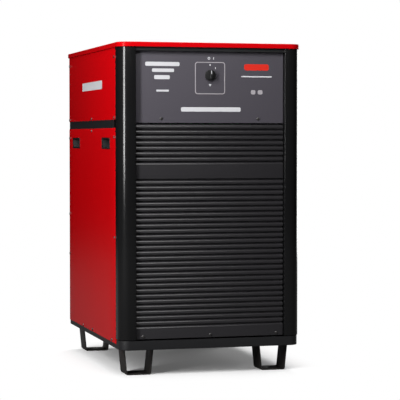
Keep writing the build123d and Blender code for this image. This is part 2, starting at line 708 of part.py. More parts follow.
# ---- Fans ----
frame_gap = 0.5
fan_rear_y = rear_skin_y - frame_gap
fan_front_y = fan_rear_y - fan_depth
stator_r = 36.0
stator_depth = 28.0
strut_width = 12.0
strut_depth = 6.0
hub_depth = 26.0
hub_start = 31.0              # front of the fan frame to the front of the hub
shaft_reach = 56.0
blade_chord = 38.0
blade_sheet = 3.0
blade_pitch = 34.0            # degrees to the plane of the fan
guard_ring_pitch = 22.0
guard_rings = [guard_ring_pitch * count for count in range(1, int(fan_bore_r / guard_ring_pitch) + 1)]
guard_rings.append(fan_bore_r + 10.0)
eyelet_r = 7.0
for name, x in fans:
    fan_plane = Plane(origin=(x, fan_front_y, fan_z), x_dir=(1, 0, 0), z_dir=(0, 1, 0))
    with BuildPart() as fan_frame:
        with BuildSketch(fan_plane):
            RectangleRounded(fan_size, fan_size, 16.0)
            Circle(fan_bore_r, mode=Mode.SUBTRACT)
            with GridLocations(2 * guard_screw, 2 * guard_screw, 2, 2):
                Circle(screw_hole_r, mode=Mode.SUBTRACT)
        extrude(amount=fan_depth)
        with BuildSketch(fan_plane):
            Circle(stator_r)
            with PolarLocations((stator_r + fan_bore_r) / 2, 4, start_angle=45):
                Rectangle(fan_bore_r - stator_r + 6.0, strut_width)
        extrude(amount=strut_depth)
        with BuildSketch(fan_plane):
            Circle(stator_r)
        extrude(amount=stator_depth)
        with BuildSketch(fan_plane):
            Circle(fan_shaft_r)
        extrude(amount=shaft_reach)
    write(fan_frame, f"fan_frame_{name}")

    hub_plane = fan_plane.offset(hub_start)
    with BuildPart() as fan_rotor:
        with Locations(hub_plane.offset(hub_depth / 2)):
            with PolarLocations((hub_r + fan_bore_r) / 2, fan_blades):
                Box(fan_bore_r - hub_r + 6.0, blade_chord, blade_sheet, rotation=(blade_pitch, 0, 0))
        with Locations(hub_plane.offset(hub_depth / 2)):
            Cylinder(fan_bore_r - fan_tip_gap, hub_depth, mode=Mode.INTERSECT)
        with BuildSketch(hub_plane):
            Circle(hub_r)
        extrude(amount=hub_depth)
        with BuildSketch(hub_plane):
            Circle(fan_shaft_r + shaft_running_gap)
        extrude(amount=hub_depth, mode=Mode.SUBTRACT)
    write(fan_rotor, f"fan_rotor_{name}")

    with BuildPart() as fan_guard:
        with BuildSketch(Plane(origin=(x, rear_y, fan_z), x_dir=(1, 0, 0), z_dir=(0, 1, 0))):
            for ring_r in sorted(guard_rings, reverse=True):
                Circle(ring_r + guard_wire / 2)
                Circle(ring_r - guard_wire / 2, mode=Mode.SUBTRACT)
            eyelet_reach = guard_screw * sqrt(2)
            spoke_start = guard_rings[0]
            with PolarLocations((spoke_start + eyelet_reach) / 2, 4, start_angle=45):
                Rectangle(eyelet_reach - spoke_start, guard_wire)
            with GridLocations(2 * guard_screw, 2 * guard_screw, 2, 2):
                Circle(eyelet_r)
                Circle(screw_hole_r, mode=Mode.SUBTRACT)
        extrude(amount=guard_wire)
    write(fan_guard, f"fan_guard_{name}")


# ---- Cable glands and sockets in the recess ----
def rear_axis(x, z):
    """A plane on the back wall of the recess, facing out of it."""
    return Plane(origin=(x, niche_back_y, z), x_dir=(1, 0, 0), z_dir=(0, 1, 0))


fitting_clearance = 0.3
nut_depth = 6.0
gland_flange = 6.0
gland_nut = 20.0
gland_clamp = 14.0
thread_end = 12.0


def gland(x, bore_r):
    """A cable gland: thread through the wall, lock nut inside, hexagon flange and clamping cap outside."""
    thread_r = thread_hole_r[x] - fitting_clearance
    hex_r = thread_r + 8.0
    inner_r = bore_r + 2.0
    with BuildPart() as piece:
        with BuildSketch(rear_axis(x, fitting_z)):
            RegularPolygon(hex_r, 6)
        extrude(amount=gland_flange)
        with BuildSketch(rear_axis(x, fitting_z).offset(gland_flange)):
            Circle(thread_r + 3.0)
        extrude(amount=gland_nut + gland_clamp)
        fillet(piece.faces().sort_by(Axis.Y)[-1].edges(), 2.5)
        with BuildSketch(rear_axis(x, fitting_z).offset(gland_flange + 2.0)):
            RegularPolygon(hex_r - 1.0, 6)
        extrude(amount=gland_nut - 4.0)
        with BuildSketch(rear_axis(x, fitting_z).offset(-sheet - thread_end)):
            Circle(thread_r)
        extrude(amount=thread_end + sheet)
        with BuildSketch(rear_axis(x, fitting_z).offset(-sheet - nut_depth)):
            RegularPolygon(hex_r - 1.0, 6)
        extrude(amount=nut_depth)
        with BuildSketch(rear_axis(x, fitting_z).offset(-sheet - thread_end)):
            Circle(inner_r)
        extrude(amount=sheet + thread_end + gland_flange + gland_nut, mode=Mode.SUBTRACT)
        with BuildSketch(rear_axis(x, fitting_z).offset(gland_flange + gland_nut)):
            Circle(bore_r)
        extrude(amount=gland_clamp, mode=Mode.SUBTRACT)
    return piece


for name, x, bore_r in (("mains_gland", mains_x, mains_bore_r), ("torch_gland", torch_x, torch_bore_r)):
    fitting = gland(x, bore_r)
    write(fitting, name)

work_flange_r = 21.0
work_nose_r = 18.0
work_nose = 28.0
with BuildPart() as work_socket:
    with BuildSketch(rear_axis(work_x, fitting_z)):
        Circle(work_flange_r)
    extrude(amount=5.0)
    with BuildSketch(rear_axis(work_x, fitting_z).offset(5.0)):
        Circle(work_nose_r)
    extrude(amount=work_nose - 5.0)
    fillet(work_socket.faces().sort_by(Axis.Y)[-1].edges(), 2.0)
    with BuildSketch(rear_axis(work_x, fitting_z).offset(-sheet - 16.0)):
        Circle(thread_hole_r[work_x] - fitting_clearance)
    extrude(amount=16.0 + sheet)
    with BuildSketch(rear_axis(work_x, fitting_z).offset(work_nose)):
        Circle(work_bore_r)
    extrude(amount=-22.0, mode=Mode.SUBTRACT)
write(work_socket, "work_socket")

with BuildPart() as interface_socket:
    with BuildSketch(rear_axis(interface_x, fitting_z)):
        RectangleRounded(36.0, 36.0, 3.0)
    extrude(amount=3.0)
    with BuildSketch(rear_axis(interface_x, fitting_z).offset(3.0)):
        Circle(interface_bore_r + 2.5)
    extrude(amount=15.0)
    with BuildSketch(rear_axis(interface_x, fitting_z).offset(-sheet - 10.0)):
        Circle(thread_hole_r[interface_x] - fitting_clearance)
    extrude(amount=10.0 + sheet)
    with BuildSketch(rear_axis(interface_x, fitting_z).offset(18.0)):
        Circle(interface_bore_r)
    extrude(amount=-14.0, mode=Mode.SUBTRACT)
    with BuildSketch(rear_axis(interface_x, fitting_z).offset(4.0)):
        with PolarLocations(8.0, 8):
            Circle(1.0)
        with PolarLocations(3.5, 4):
            Circle(1.0)
    extrude(amount=-6.0, mode=Mode.SUBTRACT)
write(interface_socket, "interface_socket")


def hose_fitting(x, hex_r, tail_r, tail_length, bore_r):
    """A bulkhead fitting with a hexagon outside, a thread inside and a barbed hose tail."""
    thread_r = thread_hole_r[x] - fitting_clearance
    with BuildPart() as piece:
        with BuildSketch(rear_axis(x, fitting_z)):
            RegularPolygon(hex_r, 6)
        extrude(amount=10.0)
        with BuildSketch(rear_axis(x, fitting_z).offset(-sheet - 14.0)):
            Circle(thread_r)
        extrude(amount=14.0 + sheet)
        for barb in range(4):
            step = tail_length / 4
            with BuildSketch(rear_axis(x, fitting_z).offset(10.0 + barb * step)):
                Circle(tail_r)
            extrude(amount=step, taper=barb_taper)
        with BuildSketch(rear_axis(x, fitting_z).offset(-sheet - 14.0)):
            Circle(bore_r)
        extrude(amount=sheet + 14.0 + 10.0 + tail_length, mode=Mode.SUBTRACT)
    return piece


barb_taper = 6.0              # degrees
with BuildPart() as coolant_couplings:
    for x in coolant_x:
        add(hose_fitting(x, 13.0, 7.5, 24.0, 4.0).part)
write(coolant_couplings, "coolant_couplings")

air_fitting = hose_fitting(air_x, 10.0, 5.0, 20.0, 2.5)
write(air_fitting, "air_inlet")

# ---- Coolant tank, filler neck and cap ----
tank_x = (filler_x - 102.0, filler_x + 68.0)
tank_y = (240.0, tray_rear_y - frame_sheet - 3.0)
tank_wall = 3.0
tank_radius = 14.0
neck_flange_r = 26.0
neck_flange = 4.0
neck_top_z = niche_floor_z + 20.0
cap_cover = 12.0              # how far the cap reaches down over the neck
with BuildPart() as coolant_tank:
    block(tank_x, tank_y, (tank_top_z - tank_height, tank_top_z))
    fillet(coolant_tank.edges(), tank_radius)
    block((tank_x[0] + tank_wall, tank_x[1] - tank_wall), (tank_y[0] + tank_wall, tank_y[1] - tank_wall),
          (tank_top_z - tank_height + tank_radius, tank_top_z - tank_radius), mode=Mode.SUBTRACT)
    with Locations((filler_x, filler_y, tank_top_z)):
        Cylinder(neck_bore_r, 40.0, mode=Mode.SUBTRACT)
write(coolant_tank, "coolant_tank")

with BuildPart() as filler_neck:
    with BuildSketch(Plane.XY.offset(tank_top_z)):
        with Locations((filler_x, filler_y)):
            Circle(neck_flange_r)
    extrude(amount=neck_flange)
    with BuildSketch(Plane.XY.offset(tank_top_z)):
        with Locations((filler_x, filler_y)):
            Circle(neck_r)
    extrude(amount=neck_top_z - tank_top_z)
    with BuildSketch(Plane.XY.offset(tank_top_z)):
        with Locations((filler_x, filler_y)):
            Circle(neck_bore_r)
    extrude(amount=neck_top_z - tank_top_z, mode=Mode.SUBTRACT)
write(filler_neck, "filler_neck")

cap_ribs = 16
cap_rib_r = 1.6
with BuildPart() as filler_cap:
    cap_base = Plane(origin=(filler_x, filler_y, neck_top_z - cap_cover))
    with BuildSketch(cap_base):
        Circle(cap_r)
        with PolarLocations(cap_r + 0.5, cap_ribs):
            Circle(cap_rib_r, mode=Mode.SUBTRACT)
    extrude(amount=cap_height)
    with BuildSketch(cap_base.offset(cap_height)):
        Circle(cap_r - 5.0)
    extrude(amount=2.0)
    with BuildSketch(cap_base.offset(cap_height)):
        Rectangle(2 * cap_r - 8.0, 8.0)
    extrude(amount=7.0)
    with BuildSketch(cap_base):
        Circle(neck_r + neck_running_gap)
    extrude(amount=cap_cover + 0.3, mode=Mode.SUBTRACT)
write(filler_cap, "filler_cap")

# ---- Main transformer ----
core_x = -tray_x + 203.0
core_y = -60.0
coil_outer = core_limb + 2 * coil_gap + 2 * coil_build
limb_pitch = core_limb + core_window[0]
core_height = core_window[1] + 2 * core_limb
core_width = 3 * core_limb + 2 * core_window[0]
with BuildPart() as transformer_core:
    block((core_x - core_width / 2, core_x + core_width / 2),
          (core_y - core_stack / 2, core_y + core_stack / 2), (tray_floor_z, tray_floor_z + core_height))
    for side in (-1, 1):
        middle = core_x + side * limb_pitch / 2
        block((middle - core_window[0] / 2, middle + core_window[0] / 2),
              (core_y - core_stack / 2 - 1, core_y + core_stack / 2 + 1),
              (tray_floor_z + core_limb, tray_floor_z + core_limb + core_window[1]), mode=Mode.SUBTRACT)
write(transformer_core, "transformer_core")

coil_height = core_window[1] - 2 * coil_gap
coil_z = tray_floor_z + core_limb + coil_gap
with BuildPart() as transformer_windings:
    for limb in (-1, 0, 1):
        with BuildSketch(Plane.XY.offset(coil_z)):
            with Locations((core_x + limb * limb_pitch, core_y)):
                RectangleRounded(coil_outer, core_stack + 2 * coil_gap + 2 * coil_build, 14.0)
                Rectangle(core_limb + 2 * coil_gap, core_stack + 2 * coil_gap, mode=Mode.SUBTRACT)
        extrude(amount=coil_height)
write(transformer_windings, "transformer_windings")

# ---- Output choke ----
choke_x = tray_x - 123.0
choke_y = -60.0
choke_limb = 36.0
choke_window = (34.0, 90.0)
choke_stack = 70.0
choke_width = 4 * choke_limb / 2 + 2 * choke_window[0]
choke_height = choke_window[1] + choke_limb
with BuildPart() as output_choke:
    block((choke_x - choke_width / 2, choke_x + choke_width / 2),
          (choke_y - choke_stack / 2, choke_y + choke_stack / 2), (tray_floor_z, tray_floor_z + choke_height))
    for side in (-1, 1):
        middle = choke_x + side * (choke_limb + choke_window[0]) / 2
        block((middle - choke_window[0] / 2, middle + choke_window[0] / 2),
              (choke_y - choke_stack / 2 - 1, choke_y + choke_stack / 2 + 1),
              (tray_floor_z + choke_limb / 2, tray_floor_z + choke_limb / 2 + choke_window[1]),
              mode=Mode.SUBTRACT)
    with BuildSketch(Plane.XY.offset(tray_floor_z + choke_limb / 2 + coil_gap)):
        with Locations((choke_x, choke_y)):
            RectangleRounded(choke_limb + 2 * choke_window[0] - 4.0, choke_stack + 60.0, 12.0)
            Rectangle(choke_limb + 2 * coil_gap, choke_stack + 2 * coil_gap, mode=Mode.SUBTRACT)
    extrude(amount=choke_window[1] - 2 * coil_gap)
write(output_choke, "output_choke")

# ---- Coolant pump ----
pump_x = 160.0
pump_y = 175.0
pump_z = tray_floor_z + 72.0
motor_r = 55.0
pump_plane = Plane(origin=(pump_x, pump_y, pump_z), x_dir=(1, 0, 0), z_dir=(0, -1, 0))
with BuildPart() as coolant_pump:
    with BuildSketch(pump_plane):
        Circle(motor_r)
    extrude(amount=120.0)
    with BuildSketch(pump_plane.offset(-50.0)):
        Circle(motor_r - 12.0)
    extrude(amount=50.0)
    with BuildSketch(pump_plane.offset(120.0)):
        Circle(motor_r - 6.0)
    extrude(amount=16.0)
    block((pump_x - 50.0, pump_x + 50.0), (pump_y - 110.0, pump_y - 10.0), (tray_floor_z, pump_z - 30.0))
    with Locations((pump_x, pump_y + 30.0, pump_z + 40.0)):
        Cylinder(11.0, 50.0)
write(coolant_pump, "coolant_pump")

# ---- Radiator in front of the fans ----
radiator_half = tray_x - rear_post_leg - 8.0
radiator_height = 220.0
radiator_y = (290.0, 334.0)
header_tank = 26.0
fin_pitch = 14.0
fin_sheet = 3.0
with BuildPart() as radiator:
    radiator_z = (fan_z - radiator_height / 2, fan_z + radiator_height / 2)
    block((-radiator_half, radiator_half), radiator_y, radiator_z)
    slot_height = radiator_height - 2 * 14.0
    fin_count = int((2 * radiator_half - 2 * header_tank) / fin_pitch)
    with Locations((0, (radiator_y[0] + radiator_y[1]) / 2, fan_z)):
        with GridLocations(fin_pitch, 1.0, fin_count, 1):
            Box(fin_pitch - fin_sheet, radiator_y[1] - radiator_y[0] + 2.0, slot_height, mode=Mode.SUBTRACT)
    with Locations((0, (radiator_y[0] + radiator_y[1]) / 2, fan_z)):
        Box(2 * radiator_half - 2 * header_tank, radiator_y[1] - radiator_y[0] - 16.0, 10.0)
write(radiator, "radiator")

# ---- Electronics on the shelf ----
shelf_top_z = shelf_z + frame_sheet
capacitor_r = 32.0
capacitor_pitch = 72.0
capacitor_x = shelf_half - 127.5
sink_gap = 36.0               # heat sink to the nearest capacitor
sink_x = (-shelf_half + 27.5, capacitor_x - capacitor_pitch - capacitor_r - sink_gap)
sink_y = (-210.0, 20.0)
sink_height = 78.0
sink_base = 14.0
fin_gap = 9.0
with BuildPart() as heatsink:
    block(sink_x, sink_y, (shelf_top_z, shelf_top_z + sink_height))
    gap_count = int((sink_x[1] - sink_x[0] - fin_sheet) / (fin_gap + fin_sheet))
    with Locations(((sink_x[0] + sink_x[1]) / 2, (sink_y[0] + sink_y[1]) / 2,
                    shelf_top_z + (sink_height - sink_base) / 2)):
        with GridLocations(fin_gap + fin_sheet, 1.0, gap_count, 1):
            Box(fin_gap, sink_y[1] - sink_y[0] + 2.0, sink_height - sink_base, mode=Mode.SUBTRACT)
write(heatsink, "heatsink")

module_pitch = (sink_x[1] - sink_x[0] - 20.0) / 3
module_size = (module_pitch - 18.0, 106.0, 34.0)
with BuildPart() as power_modules:
    with Locations(((sink_x[0] + sink_x[1]) / 2, (sink_y[0] + sink_y[1]) / 2,
                    shelf_top_z + sink_height + module_size[2] / 2)):
        with GridLocations(module_pitch, 1.0, 3, 1):
            Box(*module_size)
    fillet(power_modules.edges().group_by(Axis.Z)[-1], 3.0)
write(power_modules, "power_modules")

capacitor_y = -170.0
capacitor_height = 116.0
terminal_pitch = 24.0
terminal_r = 6.0
with BuildPart() as capacitor_bank:
    with BuildSketch(Plane.XY.offset(shelf_top_z)):
        with Locations((capacitor_x, capacitor_y)):
            with GridLocations(capacitor_pitch, capacitor_pitch, 3, 2):
                Circle(capacitor_r)
    extrude(amount=capacitor_height)
    fillet(capacitor_bank.edges().group_by(Axis.Z)[-1], 3.0)
    with BuildSketch(Plane.XY.offset(shelf_top_z + capacitor_height)):
        with Locations((capacitor_x, capacitor_y)):
            with GridLocations(capacitor_pitch, capacitor_pitch, 3, 2):
                with GridLocations(terminal_pitch, 1.0, 2, 1):
                    Circle(terminal_r)
    extrude(amount=6.0)
write(capacitor_bank, "capacitor_bank")

contactor_x = capacitor_x + 10.0
contactor_y = (-60.0, 20.0)
contactor_half = 40.0
contactor_height = 96.0
pole_pitch = 26.0
with BuildPart() as contactor:
    block((contactor_x - contactor_half, contactor_x + contactor_half), contactor_y,
          (shelf_top_z, shelf_top_z + contactor_height))
    fillet(contactor.edges().filter_by(Axis.Z), 4.0)
    for pole in (-1, 0, 1):
        x = contactor_x + pole * pole_pitch
        for y in contactor_y:
            block((x - 8.0, x + 8.0), (y - 12.0, y + 12.0),
                  (shelf_top_z + contactor_height - 18.0, shelf_top_z + contactor_height + 2.0),
                  mode=Mode.SUBTRACT)
write(contactor, "contactor")

board_y = shelf_front_y + 60.0
with BuildPart() as control_board:
    block((-170.0, 170.0), (board_y, board_y + 2.0), (shelf_top_z + 12.0, shelf_top_z + 182.0))
    for x in (-130.0, 130.0):
        block((x - 12.0, x + 12.0), (board_y + 2.0, board_y + 5.0), (shelf_top_z, shelf_top_z + 60.0))
        block((x - 12.0, x + 12.0), (board_y + 2.0, board_y + 30.0), (shelf_top_z, shelf_top_z + 3.0))
    for x, z, width, height, depth in (
        (-120.0, 140.0, 50.0, 36.0, 22.0), (-50.0, 140.0, 34.0, 34.0, 10.0), (20.0, 130.0, 46.0, 46.0, 6.0),
        (90.0, 140.0, 40.0, 26.0, 16.0), (-100.0, 60.0, 80.0, 22.0, 14.0), (30.0, 60.0, 90.0, 22.0, 14.0),
    ):
        block((x - width / 2, x + width / 2), (board_y - depth, board_y),
              (shelf_top_z + z - height / 2, shelf_top_z + z + height / 2))
write(control_board, "control_board")


# ---- Panel screws: pan heads with a cross recess ----
def screw_planes():
    """The plane under every screw head, facing out."""
    planes = []
    for side in (-1, 1):
        for y, z in side_screws_upper() + side_screws_lower():
            planes.append(Plane(origin=(side * half_width, y, z), x_dir=(0, 1, 0), z_dir=(side, 0, 0)))
    for x, z in control_screws():
        planes.append(Plane(origin=(x, control_y, z), x_dir=(1, 0, 0), z_dir=(0, -1, 0)))
    for x, z in louvre_screws():
        planes.append(Plane(origin=(x, louvre_y - louvre_reach, z), x_dir=(1, 0, 0), z_dir=(0, -1, 0)))
    for x, z in rear_screws():
        planes.append(Plane(origin=(x, rear_y, z), x_dir=(1, 0, 0), z_dir=(0, 1, 0)))
    for x, z in fan_screws:
        planes.append(Plane(origin=(x, rear_y + guard_wire, z), x_dir=(1, 0, 0), z_dir=(0, 1, 0)))
    return planes


recess_width = 1.2
recess_length = 5.0
recess_depth = 1.2
with BuildPart() as screw:
    Cylinder(screw_head_r, screw_head_height, align=(Align.CENTER, Align.CENTER, Align.MIN))
    fillet(screw.edges().group_by(Axis.Z)[-1], 1.4)
    Cylinder(screw_r, screw_length, align=(Align.CENTER, Align.CENTER, Align.MAX))
    with Locations((0, 0, screw_head_height)):
        Box(recess_length, recess_width, 2 * recess_depth, mode=Mode.SUBTRACT)
        Box(recess_width, recess_length, 2 * recess_depth, mode=Mode.SUBTRACT)

with BuildPart() as panel_screws:
    with Locations(*[plane.location for plane in screw_planes()]):
        add(screw.part)
write(panel_screws, "panel_screws")
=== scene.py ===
"""Covers, fittings and finishes of a plasma cutter unit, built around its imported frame."""

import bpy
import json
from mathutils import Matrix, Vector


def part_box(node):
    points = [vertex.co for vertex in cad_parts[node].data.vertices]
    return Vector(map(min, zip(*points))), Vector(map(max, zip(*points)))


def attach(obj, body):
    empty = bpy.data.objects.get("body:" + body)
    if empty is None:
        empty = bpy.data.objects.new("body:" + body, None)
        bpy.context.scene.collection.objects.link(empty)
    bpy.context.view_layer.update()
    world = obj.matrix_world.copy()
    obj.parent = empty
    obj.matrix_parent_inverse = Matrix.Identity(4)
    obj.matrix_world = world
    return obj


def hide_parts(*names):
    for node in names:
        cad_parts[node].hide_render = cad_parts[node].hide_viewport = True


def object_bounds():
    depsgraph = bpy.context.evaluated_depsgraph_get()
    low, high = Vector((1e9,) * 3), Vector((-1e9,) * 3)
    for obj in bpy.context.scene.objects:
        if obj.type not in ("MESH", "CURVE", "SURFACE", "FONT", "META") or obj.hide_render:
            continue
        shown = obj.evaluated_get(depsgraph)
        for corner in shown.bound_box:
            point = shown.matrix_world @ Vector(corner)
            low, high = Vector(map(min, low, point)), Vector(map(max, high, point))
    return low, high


bl_info = {
    "name": "Plasma Cutter Unit",
    "version": (1, 0, 0),
    "blender": (4, 5, 0),
    "location": "View3D > Sidebar > Cutter",
    "description": "Builds the covers, fittings and finishes of a plasma cutter unit around its frame",
    "category": "Object",
}

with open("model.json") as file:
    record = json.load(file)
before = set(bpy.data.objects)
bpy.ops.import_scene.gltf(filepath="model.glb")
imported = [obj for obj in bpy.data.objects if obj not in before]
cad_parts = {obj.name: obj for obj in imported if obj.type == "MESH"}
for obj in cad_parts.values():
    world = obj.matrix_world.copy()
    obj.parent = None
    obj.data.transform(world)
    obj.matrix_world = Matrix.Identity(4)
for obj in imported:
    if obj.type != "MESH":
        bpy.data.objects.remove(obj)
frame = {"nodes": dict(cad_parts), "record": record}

import json
import math
from contextlib import contextmanager

import bmesh
import bpy
from bpy.props import FloatProperty, FloatVectorProperty, IntProperty, PointerProperty
from bpy.types import Operator, Panel, PropertyGroup
from mathutils import Vector

cad_low, cad_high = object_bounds()

CLOSE = 2e-5                    # two places within this distance, in metres, are one
WELD = 1e-6                     # points within this distance, in metres, are merged
FINISH_PREFIX = "cutter_"       # the frame brings plain materials that have the slots' own names
SIDES = {"left": -1, "right": 1}
ENDS = ("front", "rear")
QUARTER = math.pi / 2
SHARP = math.radians(40)        # edges that turn further than this are broken
SMOOTH = math.radians(35)       # edges that turn less than this are shaded smooth
BLADE_TWIST = math.radians(-14)
BLADE_SLANT = math.radians(60)  # between a blade's width and the axle
COOLANT_LEVEL = 0.62            # how full the sight glass is, from 0 to 1
HOOD_ROUND, HOOD_END = 0.85, 0.4    # radii of a hood's top edge and of its ends, as shares of its reach
GRIP_TAPER = (0.72, 1.0, 0.86)  # front of the knob's bar, as shares of its foot
HEAD_ROUND, SOCKET_DEPTH = 0.7, 0.6    # of a panel screw, as shares of its rise
SOCKET_RIM = 0.42               # round a screw's socket, as a share of the head's radius
SIDE_ZONE = 0.02                # screws nearer than this to a side panel's face may be side screws
REAR_SLACK = 0.0005             # side screws end no further than this behind the rear panels


def length(name, description, metres):
    """A size that a user may change."""
    return FloatProperty(name=name, description=description, default=metres, min=0.0, unit="LENGTH",
                         precision=4)


def colour(name, description, *rgb):
    """A colour that a user may change."""
    return FloatVectorProperty(name=name, description=description, default=rgb, min=0.0, max=1.0,
                               subtype="COLOR")


class CutterSizes(PropertyGroup):
    """Sizes of the sheet metal and the fittings that the frame's boxes don't give."""

    sheet: length("Sheet", "Thickness of the panels", 0.0015)
    lid_sheet: length("Lid sheet", "Thickness of the lid", 0.002)
    lid_corner: length("Lid corner", "Radius of the lid's front corners", 0.038)
    lid_rear_corner: length("Lid rear corner", "Radius of the lid's rear corners", 0.006)
    lid_edge: length("Lid edge", "Radius along the top edge of the lid", 0.003)
    post_corner: length("Post corner", "Radius of the front posts' outer corner", 0.034)
    post_gap: length("Post gap", "Between the front posts and the side panels", 0.0005)
    tray_corner: length("Tray corner", "Radius of the base tray's front corners", 0.032)
    fold: length("Fold", "Outside radius of a folded sheet edge", 0.0022)
    louvre_pitch: length("Louvre pitch", "From one louvre to the next", 0.0172)
    louvre_height: length("Louvre height", "One hood, from its top edge to its lip", 0.0114)
    louvre_reach: length("Louvre reach", "How far a hood stands out of the sheet", 0.008)
    hood_sheet: length("Hood sheet", "Thickness of the hoods", 0.0012)
    hood_sunk: length("Hood sunk", "How far a hood reaches into the sheet", 0.0004)
    louvre_top: length("Louvre top", "Panel edge to the first hood", 0.001)
    louvre_margin: length("Louvre margin", "Hood ends to the panel's side edges", 0.001)
    slot_inset: length("Slot inset", "Hood ends and tops to the slot that they cover", 0.005)
    band_height: length("Band height", "Wide plain hood between the louvre fields", 0.051)
    strip_height: length("Strip height", "Least height of the plain strip below the louvres", 0.034)
    upper_louvres: IntProperty(name="Upper louvres", description="Hoods above the wide one", default=7, min=1)
    vent_pitch: length("Vent pitch", "From one vent in the base tray to the next", 0.018)
    vent_width: length("Vent width", "Width of a vent in the base tray", 0.008)
    vent_length: length("Vent length", "Length of a vent in the base tray", 0.082)
    vent_spread: length("Vent spread", "From one column of vents to the next", 0.110)
    vent_middle: length("Vent middle", "How far behind the middle the vents are centred", 0.040)
    vent_rows: IntProperty(name="Vent rows", description="Vents in one column", default=8, min=1)
    strap: length("Foot strap", "Thickness of the feet", 0.004)
    foot_bend: length("Foot bend", "Radius of the bends in a foot", 0.005)
    foot_bottom: length("Foot bottom", "Width of a foot at the floor", 0.082)
    foot_flange: length("Foot flange", "Length of a foot's flanges under the tray", 0.026)
    foot_hole: length("Foot hole", "Radius of the hole for a floor bolt", 0.0065)
    cup_rim: length("Cup rim", "Width of the rim round a pull cup", 0.005)
    cup_depth: length("Cup depth", "Depth of a pull cup behind its rim", 0.031)
    cup_corner: length("Cup corner", "Radius of a pull cup's corners", 0.0035)
    screw_head: length("Screw head", "Radius of a panel screw's head", 0.005)
    screw_rise: length("Screw rise", "Height of a panel screw's head", 0.002)
    knob_skirt: length("Knob skirt", "Height of the knob's round skirt", 0.007)
    knob_grip: length("Knob grip", "Width of the bar across the knob", 0.011)
    knob_inset: length("Knob inset", "Ends of the knob's bar to the edge of its skirt", 0.0015)
    pointer_width: length("Pointer width", "Width of the line on the knob", 0.0024)
    pointer_start: length("Pointer start", "Middle of the knob to the line", 0.003)
    pointer_end: length("Pointer end", "The line to the edge of the knob", 0.004)
    label_corner: length("Label corner", "Radius of the switch label's corners", 0.009)
    label_line: length("Label line", "Width of the line round the switch label", 0.0027)
    guard_wire: length("Guard wire", "Diameter of the fan guards' wire", 0.002)
    guard_pitch: length("Guard pitch", "From one ring of a fan guard to the next", 0.022)
    guard_rim: length("Guard rim", "Radius of a fan guard's outermost ring", 0.122)
    eyelet: length("Eyelet", "Radius of the loops that hold a fan guard", 0.0055)
    eyelet_inset: length("Eyelet inset", "Middle of a loop to the guard's sides", 0.007)
    blade_tip: length("Blade tip", "Radius of a fan at the tips of its blades", 0.109)
    blade_root: length("Blade root", "Radius of a fan's hub", 0.042)
    blade_sunk: length("Blade sunk", "How far a blade reaches into the hub", 0.006)
    blade_chord: length("Blade chord", "Width of a blade", 0.038)
    blade_sheet: length("Blade thickness", "Thickness of a blade", 0.0025)
    blades: IntProperty(name="Blades", description="Blades of a fan", default=7, min=2)
    mark_rise: length("Mark rise", "How far a printed mark stands off its panel", 0.0003)


class CutterColours(PropertyGroup):
    """Colours of the finishes."""

    red: colour("Red", "Powder coat of the lid and the side panels", 0.49, 0.001, 0.003)
    grey: colour("Grey", "Powder coat of the control panel", 0.060, 0.055, 0.067)
    gloss_black: colour("Gloss black", "Paint of the front posts", 0.006, 0.006, 0.0063)
    frame_black: colour("Frame black", "Paint of the base, the rails and the rear posts", 0.010, 0.010, 0.011)
    louvre_black: colour("Louvre black", "Paint of the louvred panel", 0.018, 0.017, 0.019)
    foot_black: colour("Foot black", "Paint of the feet", 0.016, 0.014, 0.013)
    mark_white: colour("White marks", "Printed marks on the panels", 0.55, 0.55, 0.57)
    mark_red: colour("Red mark", "The red printed mark", 0.60, 0.02, 0.01)
    outline: colour("Outline", "Line round the switch label and the small marks", 0.33, 0.31, 0.33)


# ---- Shader arithmetic ----
class Value:
    """What varies over a surface: a number, a colour or a vector. Python's operators add Math nodes."""

    def __init__(self, finish, socket):
        self.finish = finish
        self.socket = socket

    def maths(self, operation, *others):
        """A Math node on this value, and on others where the operation takes them."""
        return self.finish.node("ShaderNodeMath", {"operation": operation}, dict(enumerate((self, *others))))

    def __add__(self, other):
        return self.maths("ADD", other)

    def __mul__(self, other):
        return self.maths("MULTIPLY", other)

    def __truediv__(self, other):
        return self.maths("DIVIDE", other)

    def __lt__(self, other):
        return self.maths("LESS_THAN", other)

    def __abs__(self):
        return self.maths("ABSOLUTE")

    __radd__ = __add__
    __rmul__ = __mul__


